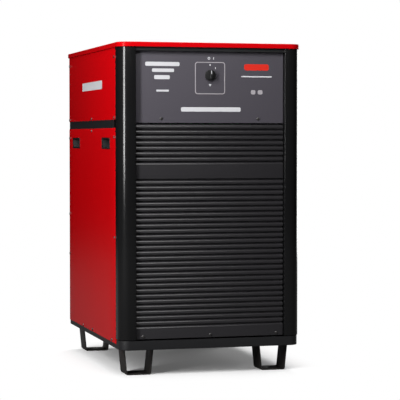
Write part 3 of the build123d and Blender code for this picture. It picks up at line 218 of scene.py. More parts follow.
class Finish:
    """A material and the nodes that make it. Sockets that are the same all over are set on the shader."""

    def __init__(self, name, **uniform):
        self.material = bpy.data.materials.new(FINISH_PREFIX + name)
        self.material.use_nodes = True
        self.tree = self.material.node_tree
        self.shader = self.tree.nodes["Principled BSDF"]
        for socket, value in uniform.items():
            self.feed(self.shader.inputs[socket.replace("_", " ")], value)

    def feed(self, socket, value):
        if isinstance(value, Value):
            self.tree.links.new(value.socket, socket)
        elif socket.type == "RGBA":
            socket.default_value = (*value[:3], 1.0)
        else:
            socket.default_value = value

    def node(self, kind, settings=None, sockets=None, output=0):
        """Any node: its settings first, then the values or links of its sockets."""
        made = self.tree.nodes.new(kind)
        for name, value in (settings or {}).items():
            setattr(made, name, value)
        for name, value in (sockets or {}).items():
            self.feed(made.inputs[name], value)
        return Value(self, made.outputs[output])

    def place(self, stretch=(1.0, 1.0, 1.0)):
        """Object coordinates, stretched along the axes."""
        spot = self.node("ShaderNodeTexCoord", output="Object")
        return self.node("ShaderNodeMapping", sockets={"Vector": spot, "Scale": stretch})

    def along(self, axis, spot=None):
        """How far along one axis a point of the surface is."""
        return self.node("ShaderNodeSeparateXYZ", sockets={"Vector": spot or self.place()}, output=axis)

    def noise(self, spot, per_metre, detail=2.0):
        return self.node("ShaderNodeTexNoise", sockets={"Vector": spot, "Scale": per_metre, "Detail": detail})

    def blend(self, share, first, second):
        """A colour between two colours."""
        colours = {"Factor": share, 6: first, 7: second}
        return self.node("ShaderNodeMix", {"data_type": "RGBA"}, colours, output=2)

    def range(self, value, low, high):
        """value, from 0 to 1, laid over low to high."""
        return value * (high - low) + low

    def bump(self, height, metres):
        return self.node("ShaderNodeBump", sockets={"Height": height, "Distance": metres, "Strength": 1.0})

    def surface(self, base, gloss, height=None, metres=0.0):
        """Feed what varies over the surface: colour, roughness and a bump of so many metres."""
        self.feed(self.shader.inputs["Base Color"], base)
        self.feed(self.shader.inputs["Roughness"], gloss)
        if height:
            self.feed(self.shader.inputs["Normal"], self.bump(height, metres))
        return self.material


def tint(rgb, factor):
    return tuple(min(1.0, part * factor) for part in rgb)


# ---- Finishes ----
def powder_coat(name, rgb, roughness, shine=0.5, uneven=0.05, peel=0.000003):
    """Baked powder: orange peel, a faintly cloudy colour and an uneven gloss."""
    finish = Finish(name, Specular_IOR_Level=shine)
    spot = finish.place()
    cloud = finish.noise(spot, 5.0, 3.0)
    wiped = finish.noise(spot, 14.0, 3.0)
    skin = finish.noise(spot, 420.0, 1.0)
    base = finish.blend(cloud, tint(rgb, 1.0 - uneven), tint(rgb, 1.0 + uneven))
    gloss = finish.range(wiped, roughness - 0.03, roughness + 0.03)
    return finish.surface(base, gloss, skin, peel)


def moulded(name, rgb, roughness=0.5):
    """Spark-eroded plastic: a fine pitted grain."""
    finish = Finish(name, Specular_IOR_Level=0.4)
    spot = finish.place()
    pits = finish.noise(spot, 900.0, 3.0)
    cloud = finish.noise(spot, 12.0)
    base = finish.blend(cloud, tint(rgb, 0.9), tint(rgb, 1.1))
    gloss = finish.range(pits, roughness - 0.08, roughness + 0.08)
    return finish.surface(base, gloss, pits, 0.00004)


def plated(name, rgb, roughness=0.32, streak=(1.0, 1.0, 1.0)):
    """Plated or bare metal: cloudy passivation and fine drawing lines."""
    finish = Finish(name, Metallic=1.0)
    spot = finish.place(streak)
    cloud = finish.noise(spot, 55.0, 5.0)
    lines = finish.noise(spot, 700.0, 2.0)
    base = finish.blend(cloud, tint(rgb, 0.8), tint(rgb, 1.12))
    gloss = finish.range(cloud, roughness - 0.08, roughness + 0.1)
    return finish.surface(base, gloss, lines, 0.00002)


def casting(name, rgb):
    """Die-cast aluminium: a slightly sandy skin."""
    finish = Finish(name, Metallic=0.85)
    spot = finish.place()
    sand = finish.noise(spot, 500.0, 5.0)
    flow = finish.noise(spot, 18.0, 3.0)
    base = finish.blend(flow, tint(rgb, 0.82), tint(rgb, 1.1))
    return finish.surface(base, finish.range(sand, 0.42, 0.62), sand, 0.00006)


def stacked(name, rgb, per_metre, axis):
    """Laminations or wire turns: fine parallel grooves across an axis, counted from 0 for x."""
    finish = Finish(name, Metallic=0.9)
    spot = finish.place()
    wave = (finish.along(axis, spot) * (per_metre * math.tau)).maths("SINE")
    stain = finish.noise(spot, 30.0, 4.0)
    base = finish.blend(stain, tint(rgb, 0.75), tint(rgb, 1.1))
    return finish.surface(base, finish.range(stain, 0.35, 0.6), wave * 0.5 + 0.5, 0.0002)


def printed(name, rgb):
    """Screen-printed ink: a faint weave of the screen."""
    finish = Finish(name, Specular_IOR_Level=0.3)
    spot = finish.place()
    weave = finish.noise(spot, 1400.0, 1.0)
    cloud = finish.noise(spot, 25.0)
    base = finish.blend(cloud, tint(rgb, 0.95), tint(rgb, 1.03))
    return finish.surface(base, finish.range(weave, 0.42, 0.55), weave, 0.00001)


def clear_window(name):
    """A tinted acrylic sight glass with the coolant's level behind it."""
    finish = Finish(name, IOR=1.49, Specular_IOR_Level=0.5, Coat_Weight=0.4, Coat_Roughness=0.05)
    spot = finish.place()
    low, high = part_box("level_window")
    filled = finish.along(2, spot) < low.z + COOLANT_LEVEL * (high.z - low.z)
    haze = finish.noise(spot, 60.0, 3.0)
    coolant = finish.blend(haze, (0.02, 0.16, 0.20), (0.03, 0.22, 0.27))
    base = finish.blend(filled, (0.30, 0.33, 0.33), coolant)
    return finish.surface(base, finish.range(haze, 0.06, 0.16))


def circuit_board(name):
    """Solder resist over copper tracks."""
    finish = Finish(name, Specular_IOR_Level=0.6)
    spot = finish.place()
    tracks = finish.node("ShaderNodeTexVoronoi", {"feature": "DISTANCE_TO_EDGE", "distance": "MANHATTAN"},
                         {"Vector": spot, "Scale": 90.0})
    copper = tracks < 0.06
    cloud = finish.noise(spot, 30.0)
    base = finish.blend(copper, (0.006, 0.085, 0.025), (0.02, 0.20, 0.06))
    return finish.surface(base, finish.range(cloud, 0.28, 0.42), copper, 0.00003)


def make_finishes(colours):
    """Every finish, by the record's slot name or by the name of a printed mark."""
    recipes = {
        "red_paint": (powder_coat, colours.red, 0.25, 0.06, 0.02),
        "post_gloss_black": (powder_coat, colours.gloss_black, 0.19, 0.32),
        "frame_black": (powder_coat, colours.frame_black, 0.42),
        "louvre_black": (powder_coat, colours.louvre_black, 0.33, 0.6),
        "panel_grey": (powder_coat, colours.grey, 0.52, 0.35, 0.05, 0.000006),
        "foot_black": (powder_coat, colours.foot_black, 0.40),
        "pump_paint": (powder_coat, (0.02, 0.05, 0.16), 0.45),
        "moulded_black": (moulded, (0.006, 0.006, 0.0065)),
        "tank_natural": (moulded, (0.62, 0.61, 0.54), 0.45),
        "capacitor_sleeve": (moulded, (0.02, 0.03, 0.07), 0.35),
        "relay_plastic": (moulded, (0.42, 0.41, 0.37)),
        "screw_black": (plated, (0.13, 0.125, 0.125), 0.45),
        "zinc_steel": (plated, (0.26, 0.255, 0.24), 0.55),
        "guard_wire": (plated, (0.62, 0.62, 0.60), 0.26),
        "brass_fitting": (plated, (0.60, 0.42, 0.17), 0.24),
        "sink_aluminium": (plated, (0.72, 0.72, 0.73), 0.30, (1.0, 0.1, 1.0)),
        "fan_casting": (casting, (0.30, 0.30, 0.31)),
        "core_steel": (stacked, (0.19, 0.19, 0.20), 1000.0, 1),
        "winding_copper": (stacked, (0.55, 0.23, 0.09), 330.0, 2),
        "window_clear": (clear_window,),
        "board_green": (circuit_board,),
        "mark_white": (printed, colours.mark_white),
        "mark_red": (printed, colours.mark_red),
        "mark_outline": (printed, colours.outline),
    }
    return {name: maker(name, *values) for name, (maker, *values) in recipes.items()}


# ---- Modelling ----
def near(first, second):
    return abs(first - second) < CLOSE


def take(piece):
    """Make piece the only selected object, and the active one."""
    bpy.ops.object.select_all(action="DESELECT")
    piece.select_set(True)
    bpy.context.view_layer.objects.active = piece


def settle(name):
    """Name the new object and put its place in its mesh."""
    piece = bpy.context.object
    piece.name = name
    piece.data.name = name
    take(piece)
    bpy.ops.object.transform_apply(location=True, rotation=True, scale=True)
    return piece


def box(name, low, high):
    """A box between two corners."""
    middle = [(a + b) / 2 for a, b in zip(low, high)]
    size = [b - a for a, b in zip(low, high)]
    bpy.ops.object.select_all(action="DESELECT")
    bpy.ops.mesh.primitive_cube_add(size=1.0, location=middle, scale=size)
    return settle(name)


TURNS = {"x": (0.0, QUARTER, 0.0), "y": (QUARTER, 0.0, 0.0), "z": (0.0, 0.0, 0.0)}


def drum(name, middle, radius, depth, axis, sides=32):
    """A cylinder about one axis."""
    bpy.ops.object.select_all(action="DESELECT")
    bpy.ops.mesh.primitive_cylinder_add(vertices=sides, radius=radius, depth=depth, location=middle,
                                        rotation=TURNS[axis])
    return settle(name)


def ring(name, middle, radius, wire, segments=24, sides=8):
    """A ring of round wire about the y axis."""
    bpy.ops.object.select_all(action="DESELECT")
    bpy.ops.mesh.primitive_torus_add(location=middle, rotation=TURNS["y"], major_radius=radius,
                                     minor_radius=wire, major_segments=segments, minor_segments=sides)
    return settle(name)


@contextmanager
def editing(piece):
    """Edit mode, with all of the piece selected."""
    take(piece)
    bpy.ops.object.mode_set(mode="EDIT")
    bpy.ops.mesh.select_all(action="SELECT")
    yield
    bpy.ops.object.mode_set(mode="OBJECT")


def pick(piece, kind, test):
    """Select the faces whose middle and normal, or the edges whose middle and direction, pass the test."""
    bpy.ops.mesh.select_mode(type=kind)
    bpy.ops.mesh.select_all(action="DESELECT")
    mesh = bmesh.from_edit_mesh(piece.data)
    if kind == "FACE":
        for face in mesh.faces:
            face.select_set(bool(test(face.calc_center_median(), face.normal)))
    else:
        for edge in mesh.edges:
            start, end = (point.co for point in edge.verts)
            edge.select_set(bool(test((start + end) / 2, (end - start).normalized())))
    bmesh.update_edit_mesh(piece.data)


def round_edges(piece, radius, segments, test):
    """Round the edges that pass the test."""
    with editing(piece):
        pick(piece, "EDGE", test)
        bpy.ops.mesh.bevel(offset=radius, segments=segments, affect="EDGES")


def cut_faces(piece, test):
    """Take the faces that pass the test away."""
    with editing(piece):
        pick(piece, "FACE", test)
        bpy.ops.mesh.delete(type="FACE")


def modify(piece, kind, **settings):
    """Add a modifier and apply it."""
    take(piece)
    bpy.ops.object.modifier_add(type=kind)
    step = piece.modifiers[-1]
    for name, value in settings.items():
        setattr(step, name, value)
    bpy.ops.object.modifier_apply(modifier=step.name)


def ease(piece, width, segments=2):
    """Break every sharp edge."""
    modify(piece, "BEVEL", width=width, segments=segments, limit_method="ANGLE", angle_limit=SHARP)


def thicken(piece, thickness):
    """Give a shell its thickness, inwards."""
    modify(piece, "SOLIDIFY", thickness=thickness, offset=-1.0)


def copied(piece, shift):
    """A copy with its own mesh, moved by shift."""
    take(piece)
    bpy.ops.object.duplicate(linked=False)
    bpy.ops.transform.translate(value=shift)
    return settle(piece.name + "_copy")


def turned_copy(piece, angle, centre):
    """A copy with its own mesh, turned about a line along the y axis."""
    take(piece)
    bpy.ops.object.duplicate(linked=False)
    bpy.ops.transform.rotate(value=angle, orient_axis="Y", center_override=centre)
    return settle(piece.name + "_copy")


def joined(name, pieces):
    """One piece made of several, or of one."""
    take(pieces[0])
    for piece in pieces[1:]:
        piece.select_set(True)
    if len(pieces) > 1:
        bpy.ops.object.join()
    return settle(name)


def complete(piece, finish, node=None, body="cabinet", mend=True):
    """Smooth, paint and hang a finished piece on its body, in place of a frame node where one is named."""
    if mend:
        with editing(piece):
            bpy.ops.mesh.remove_doubles(threshold=WELD)
            bpy.ops.mesh.normals_make_consistent(inside=False)
    take(piece)
    bpy.ops.object.shade_smooth_by_angle(angle=SMOOTH)
    piece.data.materials.clear()
    piece.data.materials.append(bpy.data.materials[FINISH_PREFIX + finish])
    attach(piece, body)
    if node:
        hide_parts(node)


def solids(node):
    """(lowest, highest corner) of each separate solid in a frame node."""
    mesh = bmesh.new()
    mesh.from_mesh(frame["nodes"][node].data)
    bmesh.ops.remove_doubles(mesh, verts=mesh.verts, dist=WELD)
    left = set(mesh.verts)
    found = []
    while left:
        seed = left.pop()
        island, edge_of_search = [seed], [seed]
        while edge_of_search:
            for edge in edge_of_search.pop().link_edges:
                for point in edge.verts:
                    if point in left:
                        left.remove(point)
                        island.append(point)
                        edge_of_search.append(point)
        low = Vector([min(point.co[axis] for point in island) for axis in range(3)])
        high = Vector([max(point.co[axis] for point in island) for axis in range(3)])
        found.append((low, high))
    mesh.free()
    return sorted(found, key=lambda pair: tuple(round(part, 5) for part in (*pair[0], *pair[1])))


def outer_face(low, high, sign):
    """The x of a part's outer face on the left side, for -1, or the right side, for 1."""
    return low.x if sign < 0 else high.x


def upright(along):
    return abs(along.z) > 0.99


def lengthwise(along):
    return abs(along.y) > 0.99


class Builder:
    """What every piece's operator shares."""

    bl_options = {"REGISTER"}

    @property
    def sizes(self):
        return bpy.context.scene.cutter_sizes


# ---- Covers ----
class CUTTER_OT_lid(Builder, Operator):
    """Make the red lid: a shallow tray turned upside down, with wide front corners"""

    bl_idname = "cutter.lid"
    bl_label = "Lid"

    def execute(self, context):
        sizes = self.sizes
        low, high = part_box("lid")
        lid = box("lid_cover", low, high)
        round_edges(lid, sizes.lid_corner, 20, lambda at, along: upright(along) and at.y < 0)
        round_edges(lid, sizes.lid_rear_corner, 6,
                    lambda at, along: upright(along) and near(abs(at.x), high.x) and near(at.y, high.y))
        round_edges(lid, sizes.lid_edge, 5, lambda at, along: near(at.z, high.z) and abs(along.z) < 0.1)
        cut_faces(lid, lambda at, normal: normal.z < -0.9)
        thicken(lid, sizes.lid_sheet)
        complete(lid, "red_paint", "lid")
        return {"FINISHED"}


class CUTTER_OT_side_panels(Builder, Operator):
    """Make the four red side panels, with folded edges and openings for the pull cups"""

    bl_idname = "cutter.side_panels"
    bl_label = "Side panels"

    def execute(self, context):
        sizes = self.sizes
        for side, sign in SIDES.items():
            for level in ("upper", "lower"):
                node = f"side_panel_{level}_{side}"
                low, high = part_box(node)
                outer = outer_face(low, high, sign)
                inner = outer - sign * 4 * sizes.sheet
                panel = box(f"{side}_{level}_skin", (min(outer, inner), low.y, low.z),
                            (max(outer, inner), high.y, high.z))
                cut_faces(panel, lambda at, normal: near(at.x, inner))
                if level == "lower":
                    self.cut_openings(panel, side, outer)
                round_edges(panel, sizes.fold, 4,
                            lambda at, along: near(at.x, outer) and self.on_rim(at, low, high))
                thicken(panel, sizes.sheet)
                complete(panel, "red_paint", node)
        return {"FINISHED"}

    def on_rim(self, at, low, high):
        return near(at.y, low.y) or near(at.y, high.y) or near(at.z, low.z) or near(at.z, high.z)

    def cut_openings(self, panel, side, outer):
        rim = self.sizes.cup_rim
        for end in ENDS:
            low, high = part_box(f"grip_cup_{end}_{side}")
            cuts = [((outer, low.y + rim, 0), (0, 1, 0)), ((outer, high.y - rim, 0), (0, 1, 0)),
                    ((outer, 0, low.z + rim), (0, 0, 1)), ((outer, 0, high.z - rim), (0, 0, 1))]
            for point, normal in cuts:
                with editing(panel):
                    bpy.ops.mesh.bisect(plane_co=point, plane_no=normal)
            cut_faces(panel, lambda at, normal: near(at.x, outer)
                      and low.y + rim < at.y < high.y - rim and low.z + rim < at.z < high.z - rim)


class CUTTER_OT_posts(Builder, Operator):
    """Make the two front posts, each with one wide round corner"""

    bl_idname = "cutter.posts"
    bl_label = "Front posts"

    def execute(self, context):
        sizes = self.sizes
        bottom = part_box("base_tray")[1].z + sizes.lid_sheet
        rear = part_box("side_panel_upper_left")[0].y - sizes.post_gap
        for side, sign in SIDES.items():
            node = f"front_post_{side}"
            low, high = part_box(node)
            outer = outer_face(low, high, sign)
            post = box(f"{side}_post_shell", (low.x, low.y, bottom), (high.x, rear, high.z))
            round_edges(post, sizes.post_corner, 24,
                        lambda at, along: upright(along) and near(at.x, outer) and near(at.y, low.y))
            ease(post, 0.0012, 3)
            complete(post, "post_gloss_black", node)
        return {"FINISHED"}


class CUTTER_OT_louvres(Builder, Operator):
    """Make the louvred panel: a slotted sheet, a pressed hood over each slot and a plain strip below"""

    bl_idname = "cutter.louvres"
    bl_label = "Louvred panel"

    def execute(self, context):
        sizes = self.sizes
        low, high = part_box("louvre_panel")
        face_y = low.y + sizes.louvre_reach
        half = high.x - sizes.louvre_margin
        hoods = self.hood_levels(low.z, high.z)
        sheet = box("louvre_sheet", (low.x, face_y, low.z), (high.x, high.y, high.z))
        cut_faces(sheet, lambda at, normal: normal.y > 0.9)
        round_edges(sheet, sizes.fold, 3, lambda at, along: near(at.y, face_y))
        inset = sizes.slot_inset
        slots = [(top - tall, top - inset) for top, tall, is_open in hoods if is_open]
        self.cut_slots(sheet, face_y, half - inset, slots)
        thicken(sheet, sizes.sheet)
        pieces = [sheet]
        louvre = self.hood(half, face_y, sizes.louvre_height, True)
        for top, tall, is_open in hoods:
            if is_open and near(tall, sizes.louvre_height):
                pieces.append(copied(louvre, (0, 0, top)))
            else:
                plain = self.hood(half, face_y, tall, is_open)
                pieces.append(copied(plain, (0, 0, top)))
                bpy.data.objects.remove(plain)
        bpy.data.objects.remove(louvre)
        complete(joined("louvre_front", pieces), "louvre_black", "louvre_panel", mend=False)
        return {"FINISHED"}

    def hood_levels(self, bottom, panel_top):
        """(top, height, open below) of every hood, from the top down."""
        sizes = self.sizes
        hoods = []
        level = panel_top - sizes.louvre_top
        for count in range(sizes.upper_louvres):
            hoods.append((level, sizes.louvre_height, True))
            level -= sizes.louvre_pitch
        hoods.append((level, sizes.band_height, True))
        level -= sizes.band_height + sizes.louvre_pitch - sizes.louvre_height
        while level - sizes.louvre_pitch > bottom + sizes.strip_height:
            hoods.append((level, sizes.louvre_height, True))
            level -= sizes.louvre_pitch
        hoods.append((level, level - bottom, False))
        return hoods

    def hood(self, half, face_y, tall, is_open):
        """One pressed hood with its top at zero: a quarter round, a straight lip and closed, rounded ends."""
        sizes = self.sizes
        reach = sizes.louvre_reach
        front = face_y - reach
        hood = box("hood", (-half, front, -tall), (half, face_y + sizes.hood_sunk, 0))
        round_edges(hood, HOOD_ROUND * reach, 8, lambda at, along: near(at.y, front) and near(at.z, 0))
        round_edges(hood, HOOD_END * reach, 4, lambda at, along: near(abs(at.x), half)
                    and abs(along.x) < 0.1 and at.y < face_y - 2 * sizes.hood_sunk)
        cut_faces(hood, lambda at, normal: normal.y > 0.9 or (is_open and normal.z < -0.9))
        thicken(hood, sizes.hood_sheet)
        return hood

    def cut_slots(self, sheet, face_y, half, slots):
        """Open the sheet behind each hood."""
        edges = [((0, 0, level), (0, 0, 1)) for slot in slots for level in slot]
        edges += [((sign * half, 0, 0), (1, 0, 0)) for sign in (-1, 1)]
        for point, normal in edges:
            with editing(sheet):
                bpy.ops.mesh.bisect(plane_co=point, plane_no=normal)
        cut_faces(sheet, lambda at, normal: near(at.y, face_y) and abs(at.x) < half
                  and any(low < at.z < high for low, high in slots))


class CUTTER_OT_control_panel(Builder, Operator):
    """Make the grey control panel, its edges turned back"""

    bl_idname = "cutter.control_panel"
    bl_label = "Control panel"

    def execute(self, context):
        low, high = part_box("control_panel")
        panel = box("control_front", low, high)
        cut_faces(panel, lambda at, normal: normal.y > 0.9)
        round_edges(panel, self.sizes.fold, 4, lambda at, along: near(at.y, low.y))
        thicken(panel, self.sizes.sheet)
        complete(panel, "panel_grey", "control_panel")
        return {"FINISHED"}


class CUTTER_OT_base(Builder, Operator):
    """Make the base tray, with wide front corners and vents in its floor"""

    bl_idname = "cutter.base"
    bl_label = "Base tray"

    def execute(self, context):
        sizes = self.sizes
        low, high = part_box("base_tray")
        tray = box("base_pan", low, high)
        round_edges(tray, sizes.tray_corner, 20, lambda at, along: upright(along) and at.y < 0)
        round_edges(tray, sizes.lid_sheet, 4, lambda at, along: near(at.z, low.z) and abs(along.z) < 0.1)
        cut_faces(tray, lambda at, normal: normal.z > 0.9)
        self.cut_vents(tray, low.z)
        thicken(tray, sizes.lid_sheet)
        complete(tray, "frame_black", "base_tray")
        return {"FINISHED"}

    def cut_vents(self, tray, floor_z):
        """Three columns of slots in the floor."""
        sizes = self.sizes
        wide, deep = sizes.vent_width / 2, sizes.vent_length / 2
        first = sizes.vent_middle - sizes.vent_pitch * (sizes.vent_rows - 1) / 2
        rows = [first + sizes.vent_pitch * row for row in range(sizes.vent_rows)]
        columns = [-sizes.vent_spread, 0.0, sizes.vent_spread]
        cuts = [((0, row + edge, 0), (0, 1, 0)) for row in rows for edge in (-wide, wide)]
        cuts += [((column + edge, 0, 0), (1, 0, 0)) for column in columns for edge in (-deep, deep)]
        for point, normal in cuts:
            with editing(tray):
                pick(tray, "FACE", lambda at, facing: near(at.z, floor_z))
                bpy.ops.mesh.bisect(plane_co=point, plane_no=normal)
        cut_faces(tray, lambda at, facing: near(at.z, floor_z)
                  and any(abs(at.y - row) < wide for row in rows)
                  and any(abs(at.x - column) < deep for column in columns))


class CUTTER_OT_feet(Builder, Operator):
    """Make the four feet: a strap bent to a trapezoid, with flanges under the tray"""

    bl_idname = "cutter.feet"
    bl_label = "Feet"

    def execute(self, context):
        for end in ENDS:
            for side in SIDES:
                node = f"foot_{end}_{side}"
                complete(self.foot(f"{end}_{side}_foot", *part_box(node)), "foot_black", node)
        return {"FINISHED"}

    def foot(self, name, low, high):
        strap = self.sizes.strap
        middle = (low + high) / 2
        top_half = (high.x - low.x) / 2 - strap / 2
        floor_half = (self.sizes.foot_bottom - strap) / 2
        flange = self.sizes.foot_flange
        drop = high.z - low.z - strap
        bpy.ops.object.select_all(action="DESELECT")
        bpy.ops.mesh.primitive_plane_add(size=1.0)
        bpy.context.object.location = (middle.x - top_half + flange / 2, middle.y, high.z - strap / 2)
        bpy.context.object.scale = (flange, high.y - low.y, 1.0)
        foot = settle(name)
        leg = top_half - floor_half
        steps = [(leg, 0, -drop), (2 * floor_half, 0, 0), (leg, 0, drop), (-flange, 0, 0)]
        with editing(foot):
            pick(foot, "EDGE", lambda at, along: near(at.x, middle.x - top_half))
            for step in steps:
                bpy.ops.mesh.extrude_region_move(TRANSFORM_OT_translate={"value": step})
            bpy.ops.mesh.select_all(action="SELECT")
            bpy.ops.mesh.normals_make_consistent(inside=False)
        round_edges(foot, self.sizes.foot_bend, 5, lambda at, along: lengthwise(along)
                    and (near(abs(at.x - middle.x), top_half) or near(abs(at.x - middle.x), floor_half)))
        modify(foot, "SOLIDIFY", thickness=strap, offset=0.0)
        drill = drum("drill", (middle.x, middle.y, low.z), self.sizes.foot_hole, 4 * strap, "z", 40)
        modify(foot, "BOOLEAN", operation="DIFFERENCE", solver="EXACT", object=drill)
        bpy.data.objects.remove(drill)
        ease(foot, 0.0007, 2)
        return foot


class CUTTER_OT_pull_cups(Builder, Operator):
    """Make the four moulded pull cups in the lower side panels"""

    bl_idname = "cutter.pull_cups"
    bl_label = "Pull cups"

    def execute(self, context):
        sizes = self.sizes
        for end in ENDS:
            for side, sign in SIDES.items():
                node = f"grip_cup_{end}_{side}"
                low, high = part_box(node)
                outer = outer_face(low, high, sign)
                cup = box(f"{end}_{side}_pull_cup", low, (high.x, high.y, self.rim_top(node)))
                round_edges(cup, sizes.cup_corner, 4, lambda at, along: abs(along.x) > 0.99)
                with editing(cup):
                    pick(cup, "FACE", lambda at, normal: near(at.x, outer))
                    bpy.ops.mesh.inset(thickness=sizes.cup_rim)
                    bpy.ops.mesh.extrude_region_move(
                        TRANSFORM_OT_translate={"value": (-sign * sizes.cup_depth, 0, 0)})
                ease(cup, 0.0008, 3)
                complete(cup, "moulded_black", node)
        return {"FINISHED"}

    def rim_top(self, node):
        """The top of the rim, which is what stands proud of the side panel."""
        panel_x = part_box("side_panel_lower_right")[1].x
        points = frame["nodes"][node].data.vertices
        return max(point.co.z for point in points if abs(point.co.x) > panel_x + CLOSE)


# ---- Switch ----
class CUTTER_OT_switch(Builder, Operator):
    """Make the main switch's knob, its label and the label's marks"""

    bl_idname = "cutter.switch"
    bl_label = "Main switch"

    def execute(self, context):
        self.label()
        self.knob()
        return {"FINISHED"}

    def label(self):
        low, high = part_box("switch_label")
        corner, line = self.sizes.label_corner, self.sizes.label_line
        plate = box("switch_plate", low, high)
        round_edges(plate, corner, 10, lambda at, along: lengthwise(along))
        complete(plate, "panel_grey", "switch_label")
        outline = box("switch_outline", (low.x, low.y - self.sizes.mark_rise, low.z), (high.x, low.y, high.z))
        round_edges(outline, corner, 10, lambda at, along: lengthwise(along))
        with editing(outline):
            for sign in (-1, 1):
                pick(outline, "FACE", lambda at, normal: sign * normal.y > 0.9)
                bpy.ops.mesh.inset(thickness=line)
                bpy.ops.mesh.delete(type="FACE")
            pick(outline, "EDGE", lambda at, along: abs(at.x) < high.x - line / 2
                 and low.z + line / 2 < at.z < high.z - line / 2 and abs(along.y) < 0.5)
            bpy.ops.mesh.bridge_edge_loops()
        complete(outline, "mark_outline")

    def knob(self):
        sizes = self.sizes
        low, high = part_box("switch_knob")
        centre = (low + high) / 2
        radius = (high.x - low.x) / 2
        skirt_front = high.y - sizes.knob_skirt
        skirt_middle = (centre.x, (high.y + skirt_front) / 2, centre.z)
        skirt = drum("skirt", skirt_middle, radius, sizes.knob_skirt, "y", 64)
        grip_half, grip_reach = sizes.knob_grip / 2, radius - sizes.knob_inset
        grip_front = low.y + sizes.mark_rise
        grip = box("grip", (centre.x - grip_half, grip_front, centre.z - grip_reach),
                   (centre.x + grip_half, skirt_front + 0.001, centre.z + grip_reach))
        with editing(grip):
            pick(grip, "FACE", lambda at, normal: normal.y < -0.9)
            middle = (centre.x, grip_front, centre.z)
            bpy.ops.transform.resize(value=GRIP_TAPER, center_override=middle)
        ease(skirt, 0.0012, 4)
        ease(grip, 0.0018, 5)
        complete(joined("knob", [skirt, grip]), "moulded_black", "switch_knob", body="main_switch")
        line_half = sizes.pointer_width / 2
        line_back = low.y + 3 * sizes.mark_rise
        line_top = centre.z + radius - sizes.pointer_end
        pointer = box("knob_pointer", (centre.x - line_half, low.y, centre.z + sizes.pointer_start),
                      (centre.x + line_half, line_back, line_top))
        ease(pointer, 0.0002, 1)
        complete(pointer, "mark_white", body="main_switch")


# Marks on the control panel: left and right edge, then upper and lower edge below the panel's top.
WHITE_BARS = (
    (-0.213, -0.101, 0.034, 0.047),
    (-0.191, -0.119, 0.055, 0.066),
    (-0.184, -0.133, 0.076, 0.089),
    (-0.177, -0.136, 0.122, 0.128),
    (0.104, 0.207, 0.076, 0.080),
    (-0.096, 0.102, 0.177, 0.191),
    (0.0105, 0.0130, 0.0175, 0.0245),
)
RED_BAR = (0.114, 0.197, 0.038, 0.058)
SMALL_SQUARES = ((0.137, 0.152, 0.121, 0.135), (0.160, 0.176, 0.121, 0.135))
# Marks on the switch label: left and right edge, then upper and lower edge below the label's middle.
TICKS = ((-0.0018, 0.0018, -0.0445, -0.039), (0.0165, 0.0190, -0.035, -0.029), (-0.004, 0.004, 0.019, 0.027))
ARROW_POINT, ARROW_NARROW = 0.0025, 0.2    # height of the last tick's point, and its width as a share
# The off mark, a flattened ring: its middle across and below the panel's top, its radius and half its line.
OFF_MARK = (-0.0035, 0.021, 0.0032, 0.0012)
OFF_PROUD, OFF_FLAT = 0.0001, 0.25    # its middle in front of the panel, and its depth as a share
# The bar on the upper side panels: front and rear end, then lower and upper edge above the panel's foot.
SIDE_BAR = (-0.150, 0.170, 0.103, 0.131)


class CUTTER_OT_marks(Builder, Operator):
    """Make the plain printed marks on the control panel and the side panels"""

    bl_idname = "cutter.marks"
    bl_label = "Printed marks"

    def execute(self, context):
        low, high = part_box("control_panel")
        self.bars("white_marks", WHITE_BARS, low.y, high.z, "mark_white")
        self.bars("red_mark", [RED_BAR], low.y, high.z, "mark_red")
        self.bars("small_marks", SMALL_SQUARES, low.y, high.z, "mark_outline")
        for side, sign in SIDES.items():
            self.side_mark(side, sign)
        self.dial_marks(low.y, high.z)
        return {"FINISHED"}

    def bars(self, name, places, face, level, finish):
        """A group of bars below a level, as one piece."""
        complete(joined(name, [self.bar(place, face, level) for place in places]), finish)

    def bar(self, place, face, level):
        """A plain bar with round corners, on a face that looks forwards."""
        left, right, upper, lower = place
        bar = box("bar", (left, face - self.sizes.mark_rise, level - lower), (right, face, level - upper))
        round_edges(bar, 0.3 * min(right - left, lower - upper), 4, lambda at, along: lengthwise(along))
        return bar

    def side_mark(self, side, sign):
        low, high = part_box(f"side_panel_upper_{side}")
        outer = outer_face(low, high, sign)
        inner, proud = sorted((outer, outer + sign * self.sizes.mark_rise))
        front, rear, lower, upper = SIDE_BAR
        mark = box(f"{side}_side_mark", (inner, front, low.z + lower), (proud, rear, low.z + upper))
        round_edges(mark, 0.006, 6, lambda at, along: abs(along.x) > 0.99)
        complete(mark, "mark_white")

    def dial_marks(self, face, top):
        """The off mark above the label, and the ticks on it, the last of them tapered to a point."""
        label_low, label_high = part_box("switch_label")
        middle = (label_low.z + label_high.z) / 2
        across, below, radius, line = OFF_MARK
        front = face - OFF_PROUD
        off = ring("off_mark", (across, front, top - below), radius, line, sides=6)
        with editing(off):
            bpy.ops.transform.resize(value=(1.0, OFF_FLAT, 1.0), center_override=(0, front, 0))
        ticks = [self.bar(place, label_low.y, middle) for place in TICKS]
        arrow_foot = middle - TICKS[-1][3]
        with editing(ticks[-1]):
            pick(ticks[-1], "EDGE", lambda at, along: at.z < arrow_foot + ARROW_POINT)
            bpy.ops.transform.resize(value=(ARROW_NARROW, 1.0, 1.0),
                                     center_override=(0, label_low.y, arrow_foot))
        complete(joined("dial_marks", [off, *ticks]), "mark_white")


